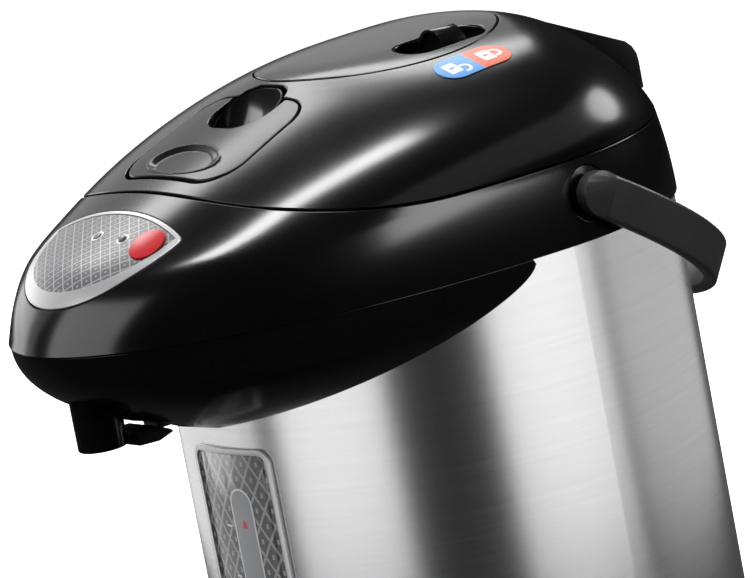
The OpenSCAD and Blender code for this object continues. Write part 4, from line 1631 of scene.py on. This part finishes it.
@dataclass
class Pump(SubAssembly):
    """The bellows under the press plate and the spring in it."""

    foot: float = 266.0
    head: float = 322.4
    folds: int = 6
    fold: tuple[float, float, float] = (16.0, 4.2, 1.4)
    coil: tuple[float, float, int] = (12.0, 0.9, 6)
    coil_drop: float = 4.8
    stroke: float = 12.0

    def build(self) -> None:
        """Builds bellows and spring."""
        parts = MeshParts()
        pitch = (self.head - self.foot) / self.folds
        steps = self.folds * 8
        z = self.foot + pitch * np.arange(steps + 1) / 8
        wave = 0.5 - 0.5 * np.cos(2 * math.pi * np.arange(steps + 1) / 8)
        neck, out, wall = self.fold
        outer = np.stack([neck + out * wave, z], -1)
        profile = np.concatenate([outer, outer[::-1] - [wall, 0.0]])
        add_turned(parts, profile)
        self.press(parts.build("pump_bellows"), SILICONE, "bellows", self.foot)
        low = self.foot - self.coil_drop
        r, wire, turns = self.coil
        t = np.linspace(0, 1, turns * 40 + 1)
        a = 2 * math.pi * turns * t
        rise = low + wire + (self.head - low - 2 * wire) * t
        path = np.stack([r * np.cos(a), -r * np.sin(a), rise], -1)
        parts = MeshParts()
        add_wire(parts, path, wire)
        self.press(parts.build("pump_spring"), BRIGHT, "press_spring", low)

    def press(self, piece: bpy.types.Object, finish: Finish, node: str, foot: float) -> None:
        """Dresses a piece of the pump, lets it ride on the lid and gives it a mesh of its own.

        Args:
            piece: The new piece.
            finish: Its finish.
            node: The CAD node it replaces.
            foot: Not used.
        """
        self.place(piece, "lid", finish, node)
        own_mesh(piece)


def add_turned(parts: MeshParts, profile: Array, sides: int = 96) -> None:
    """Adds a closed profile of radius and height, turned round Z.

    Args:
        parts: The mesh to add to.
        profile: Radius and height of each point of the profile, in order.
        sides: Sides of each ring.
    """
    t = np.linspace(0, 2 * math.pi, sides, endpoint=False)
    slope = np.roll(profile, -1, 0) - np.roll(profile, 1, 0)
    ids = []
    for (r, z), (dr, dz) in zip(profile, slope):
        ring = np.stack([r * np.cos(t), r * np.sin(t), np.full(sides, z)], -1)
        ids.append(parts.add(ring, np.stack([dz * np.cos(t), dz * np.sin(t), np.full(sides, -dr)], -1)))
    for a, b in zip(ids, ids[1:] + ids[:1]):
        parts.strip(b, a)


def add_wire(parts: MeshParts, path: Array, r: float, sides: int = 12) -> None:
    """Adds a round wire along a path that mostly runs level, with closed ends.

    Args:
        parts: The mesh to add to.
        path: Points of the wire's middle.
        r: Its radius.
        sides: Sides of the wire.
    """
    along = unit(np.gradient(path, axis=0))
    across = unit(np.cross(along, [0.0, 0.0, 1.0]))
    over = np.cross(across, along)
    t = np.linspace(0, 2 * math.pi, sides, endpoint=False)[:, None]
    ids = []
    for p, u, v in zip(path, across, over):
        ring = np.cos(t) * u + np.sin(t) * v
        ids.append(parts.add(p + r * ring, ring))
    for a, b in zip(ids[:-1], ids[1:]):
        parts.strip(a, b)
    parts.faces += [[int(i) for i in ids[0][::-1]], [int(i) for i in ids[-1]]]


@dataclass
class LevelWindow(SubAssembly):
    """Marks laid into the level window: the gauge slot, its pale outline, ticks and a red arrow."""

    skin: float = 103.4
    slot: tuple[float, float, float, float] = (3.9, 134.0, 11.6, 87.0)
    edge: float = 0.9
    ticks: tuple[float, ...] = (163.0, 143.0, 123.0, 103.0)

    def build(self) -> None:
        """Builds slot, outline, ticks and arrow."""
        x, z, w, h = self.slot
        inner = slab_outline(x, z, w, h, w / 2 - 0.01, 0.7)
        glass = Moulding(ShellChart(self.skin + 0.03), Cut(inner, 0.02, 0.2), (), 2.0)
        self.place(glass.build("gauge_slot"), "pot", LENS)
        parts = MeshParts()
        over = ShellChart(self.skin + 0.12)
        rim = slab_outline(x, z, w + 2 * self.edge, h + 2 * self.edge, w / 2 + self.edge - 0.01, 0.7)
        Moulding(over, Cut(rim, 0.05, 0.2), (Cut(as_hole(inner), 0.05, 0.2),), 2.0).gather(parts)
        for level in self.ticks:
            tick = slab_outline(x - w / 2 - 4.4, level, 3.4, 0.8, 0.3, 0.4)
            Moulding(over, Cut(tick, 0.05, 0.2), (), 2.0).gather(parts)
        self.place(parts.build("gauge_outline"), "pot", SILVER)
        arrow = rounded([(x - 1.7, 162.6, 0.3), (x + 1.7, 162.6, 0.3), (x, 166.2, 0.3)], 0.3)
        mark = Moulding(over, Cut(arrow, 0.05, 0.2), (), 1.0)
        self.place(mark.build("gauge_arrow"), "pot", RED)


@dataclass
class Badge(SubAssembly):
    """The two-colour badge with an open and a closed padlock beside the slider."""

    centre: tuple[float, float] = (60.0, 0.5)
    size: tuple[float, float, float] = (15.6, 33.0, 7.7)
    lift: float = 0.4

    def build(self) -> None:
        """Builds the badge and its padlocks."""
        (x, y), (w, d, r) = self.centre, self.size
        top = raised(self.lift)
        plate = Moulding(top, Cut(slab_outline(x, y, w, d, r, 0.5), 0.15, 0.4), (), 1.2)
        self.place(plate.build("lock_badge_plate"), "lid", BADGE, "lock_badge")
        ink = raised(self.lift + 0.03)
        parts = MeshParts()
        for cy, lean in ((y - 8.2, 2.7), (y + 8.2, 0.0)):
            self.padlock(parts, ink, x, cy, lean)
        self.place(parts.build("padlock_marks"), "lid", MARK_WHITE)

    def padlock(self, parts: MeshParts, ink: TopChart, x: float, y: float, lean: float) -> None:
        """Adds one padlock sign.

        Args:
            parts: The mesh to add to.
            ink: The chart that holds the sign just above the badge.
            x: Its centre across the badge.
            y: Its centre along the badge.
            lean: How far the shackle is swung aside, 0 for closed.
        """
        body = slab_outline(x, y - 1.8, 7.8, 5.6, 0.7, 0.4)
        key = as_hole(slab_outline(x, y - 1.8, 1.0, 2.4, 0.48, 0.3))
        Moulding(ink, Cut(body, 0.03, 0.1), (Cut(key, 0.03, 0.1),), 0.8).gather(parts)
        c = x + lean
        foot, (out, top, bend), (bore, arch, turn) = 1.2, (3.0, 5.2, 2.9), (1.7, 3.9, 1.6)
        path = [
            (out, foot, 0), (out, top, bend), (-out, top, bend), (-out, foot, 0),
            (-bore, foot, 0), (-bore, arch, turn), (bore, arch, turn), (bore, foot, 0)]
        shackle = [(c + u, y + v, r) for u, v, r in path]
        Moulding(ink, Cut(rounded(shackle, 0.3), 0.03, 0.1), (), 0.6).gather(parts)


@dataclass
class Body(SubAssembly):
    """Steel cylinder, window, base and bail: CAD parts that stay, with softer edges."""

    def build(self) -> None:
        """Dresses every CAD node by its slot and softens those that show."""
        for name, piece in frame["nodes"].items():
            slot = SLOT_OF[name]
            self.shop.dress(piece, BY_SLOT[slot])
        for name, width in SOFT_EDGES.items():
            self.soften(name, width)
        self.soften("bail_handle", 0.3, HANDLE_BLACK, 2)
        self.shop.dress(frame["nodes"]["bail_pivots"], GLOSS_BLACK)
        self.soften("window_panel", 0.1, WINDOW, 1)


SOFT_EDGES = {
    "base_ring": 0.5, "turntable": 0.5, "window_frame": 0.4, "bail_pivots": 0.4, "hinge_bracket": 0.4,
    "power_inlet": 0.4, "inlet_pins": 0.6, "neck_ring": 0.4, "inner_cover": 0.4, "lid_chassis": 0.4,
    "bellows_seat": 0.3, "latch_bolt": 0.3, "latch_keeper": 0.2, "foot_pads": 0.4, "bottom_plate": 0.3,
}
SLOT_OF = {s["node"]: s["material_slot"] for s in frame["record"]["subparts"]}


# --- Studio --------------------------------------------------------------------------------------


@dataclass(frozen=True)
class Softbox:
    """A lamp, placed by the direction it is seen in from the pot, its width and height in degrees."""

    name: str
    azimuth: float
    elevation: float
    wide: float
    tall: float
    radiance: float
    distance: float = 1.6
    aim: float = 0.28
    shift: float = 0.0
    oval: bool = False
    lights_only: tuple[str, ...] = ()

    def build(self) -> None:
        """Hangs the lamp, facing the pot."""
        lamp = bpy.data.lights.new(self.name, "AREA")
        lamp.shape = "ELLIPSE" if self.oval else "RECTANGLE"
        lamp.size = 2 * self.distance * math.tan(math.radians(self.wide / 2))
        lamp.size_y = 2 * self.distance * math.tan(math.radians(self.tall / 2))
        lamp.energy = math.pi * lamp.size * lamp.size_y * self.radiance
        box = bpy.data.objects.new(self.name, lamp)
        az, el = math.radians(self.azimuth), math.radians(self.elevation)
        away = Vector((math.sin(az) * math.cos(el), -math.cos(az) * math.cos(el), math.sin(el)))
        box.location = Vector((self.shift, 0, self.aim)) + away * self.distance
        box.rotation_euler = (-away).to_track_quat("-Z", "Y").to_euler()
        box.visible_camera = False
        bpy.context.scene.collection.objects.link(box)
        if self.lights_only:
            name = "lit by " + self.name
            lit = bpy.data.collections.new(name)
            for piece in self.lights_only:
                lit.objects.link(frame["nodes"].get(piece) or bpy.data.objects[piece])
            box.light_linking.receiver_collection = lit
            box.light_linking.blocker_collection = lit


STEEL_SIDE = (
    "outer_shell", "window_frame", "window_panel", "gauge_slot", "gauge_outline", "gauge_arrow")
UNDER_LID = ("head_collar", "beak_chin", "bail_handle", "bail_pivots", "outer_shell", "neck_ring")


def steel_lamp(name: str, azimuth: float, wide: float, radiance: float) -> Softbox:
    """One of the near lamps that only the steel and its window reflect."""
    return Softbox(name, azimuth, 0.0, wide, 38.0, radiance, distance=0.55, aim=0.2, lights_only=STEEL_SIDE)


@dataclass(frozen=True)
class Studio:
    """Floor, backdrop light, lamps and the camera.

    The steel's highlights and the head's call for different lamps, so the steel has lamps of its
    own, near enough to stand in its mirror image. A lamp with a list of pieces lights only those.
    """

    around: float = 54.99
    above: float = 9.74
    roll: float = 10.8
    distance: float = 2.6
    lens: float = 323.57
    world: float = 0.012
    lamps: tuple[Softbox, ...] = (
        Softbox("overhead_softbox", 0.0, 86.4, 10.5, 33.0, 24.0, shift=-0.06),
        Softbox("rear_left_softbox", -115.0, 42.0, 40.0, 12.0, 6.0),
        Softbox("left_fill", -95.0, 20.0, 70.0, 30.0, 0.6),
        Softbox("right_softbox", 105.0, 15.0, 34.0, 18.0, 6.5, lights_only=UNDER_LID),
        Softbox("rear_softbox", 168.0, 17.0, 24.0, 24.0, 5.0, oval=True),
        Softbox("front_softbox", -18.0, 27.0, 46.0, 24.0, 2.5),
        Softbox("left_softbox", -84.0, 9.0, 30.0, 22.0, 1.7),
        Softbox("bowl_softbox", -20.0, 46.0, 80.0, 60.0, 5.0, lights_only=("finger_bowl",)),
        Softbox("lid_fill", 120.0, 24.0, 80.0, 40.0, 0.35, lights_only=("lid_dome",)),
        steel_lamp("steel_front", 8.0, 49.0, 1.25),
        steel_lamp("steel_right", 101.5, 50.0, 1.27),
        steel_lamp("steel_rear", 166.0, 64.0, 0.6),
        steel_lamp("steel_left", -66.0, 74.0, 0.95),
    )

    def build(self) -> None:
        """Sets up everything round the pot."""
        for lamp in self.lamps:
            lamp.build()
        self.floor()
        self.backdrop()
        self.camera()

    def floor(self) -> None:
        """Wide floor, white to the camera and dark to what mirrors it."""
        mesh = bpy.data.meshes.new("studio_floor")
        r = 14.0
        mesh.from_pydata([(-r, -r, 0), (r, -r, 0), (r, r, 0), (-r, r, 0)], [], [(0, 1, 2, 3)])
        floor = bpy.data.objects.new("studio_floor", mesh)
        bpy.context.scene.collection.objects.link(floor)
        mat = bpy.data.materials.new("studio_floor")
        mat.use_nodes = True
        w = Wiring(mat.node_tree)
        shader = mat.node_tree.nodes["Principled BSDF"]
        noise = w.noise(w.spot(), 3.0, 3.0)
        tone = w.mix(noise, (0.8, 0.8, 0.8), (0.84, 0.84, 0.84))
        mat.node_tree.links.new(tone, shader.inputs["Base Color"])
        shader.inputs["Roughness"].default_value = 0.6
        glow = w.add("Emission", Color=(1, 1, 1, 1), Strength=0.97)
        both = w.add("AddShader", _0=shader.outputs[0], _1=glow.outputs[0])
        path = w.add("LightPath")
        dim = w.add("BsdfDiffuse", Color=(0.03, 0.03, 0.03, 1))
        pick = w.add("MixShader", _0=path.outputs["Is Camera Ray"], _1=dim.outputs[0], _2=both.outputs[0])
        out = next(n for n in mat.node_tree.nodes if n.type == "OUTPUT_MATERIAL")
        mat.node_tree.links.new(pick.outputs[0], out.inputs[0])
        mesh.materials.append(mat)

    def backdrop(self) -> None:
        """White behind the pot and a dim grey room for its reflections."""
        world = bpy.data.worlds.new("studio")
        world.use_nodes = True
        w = Wiring(world.node_tree)
        shade = world.node_tree.nodes["Background"]
        seen = w.add("LightPath").outputs["Is Camera Ray"]
        tone = w.math("MULTIPLY_ADD", seen, 1.05 - self.world, self.world)
        world.node_tree.links.new(tone, shade.inputs["Strength"])
        shade.inputs["Color"].default_value = (1, 1, 1, 1)
        bpy.context.scene.world = world

    def camera(self) -> None:
        """The camera, set to the photograph's angle."""
        az, el, rho = (math.radians(v) for v in (self.around, self.above, self.roll))
        back = Vector((math.sin(az) * math.cos(el), -math.cos(az) * math.cos(el), math.sin(el)))
        right = Vector((math.cos(az), math.sin(az), 0))
        up = back.cross(right)
        spot = Vector((0, 0, 0.283)) + back * self.distance
        ahead = (-back * 6768 + right * (-44.41) - up * 130.67).normalized()
        top = right * math.sin(rho) + up * math.cos(rho)
        top = (top - ahead * top.dot(ahead)).normalized()
        turn = Matrix((ahead.cross(top), top, -ahead)).transposed().to_4x4()
        turn.translation = spot
        data = bpy.data.cameras.new("photo_camera")
        data.lens, data.sensor_width, data.clip_end = self.lens, 36.0, 100.0
        view = bpy.data.objects.new("photo_camera", data)
        view.matrix_world = turn
        bpy.context.scene.collection.objects.link(view)
        bpy.context.scene.camera = view
        bpy.context.scene.view_settings.view_transform = "Standard"


def main() -> None:
    """Builds the pot's dress and the studio, and reports each piece."""
    logging.basicConfig(level=logging.INFO, format="%(message)s")
    shop = Workshop()
    Body(shop).build()
    for part in (Collar, ControlPanel, Chin, Lid, Lever, PressPlate, Pump, LevelWindow, Badge):
        part(shop).build()
    Studio().build()


if __name__ == "__main__":
    main()
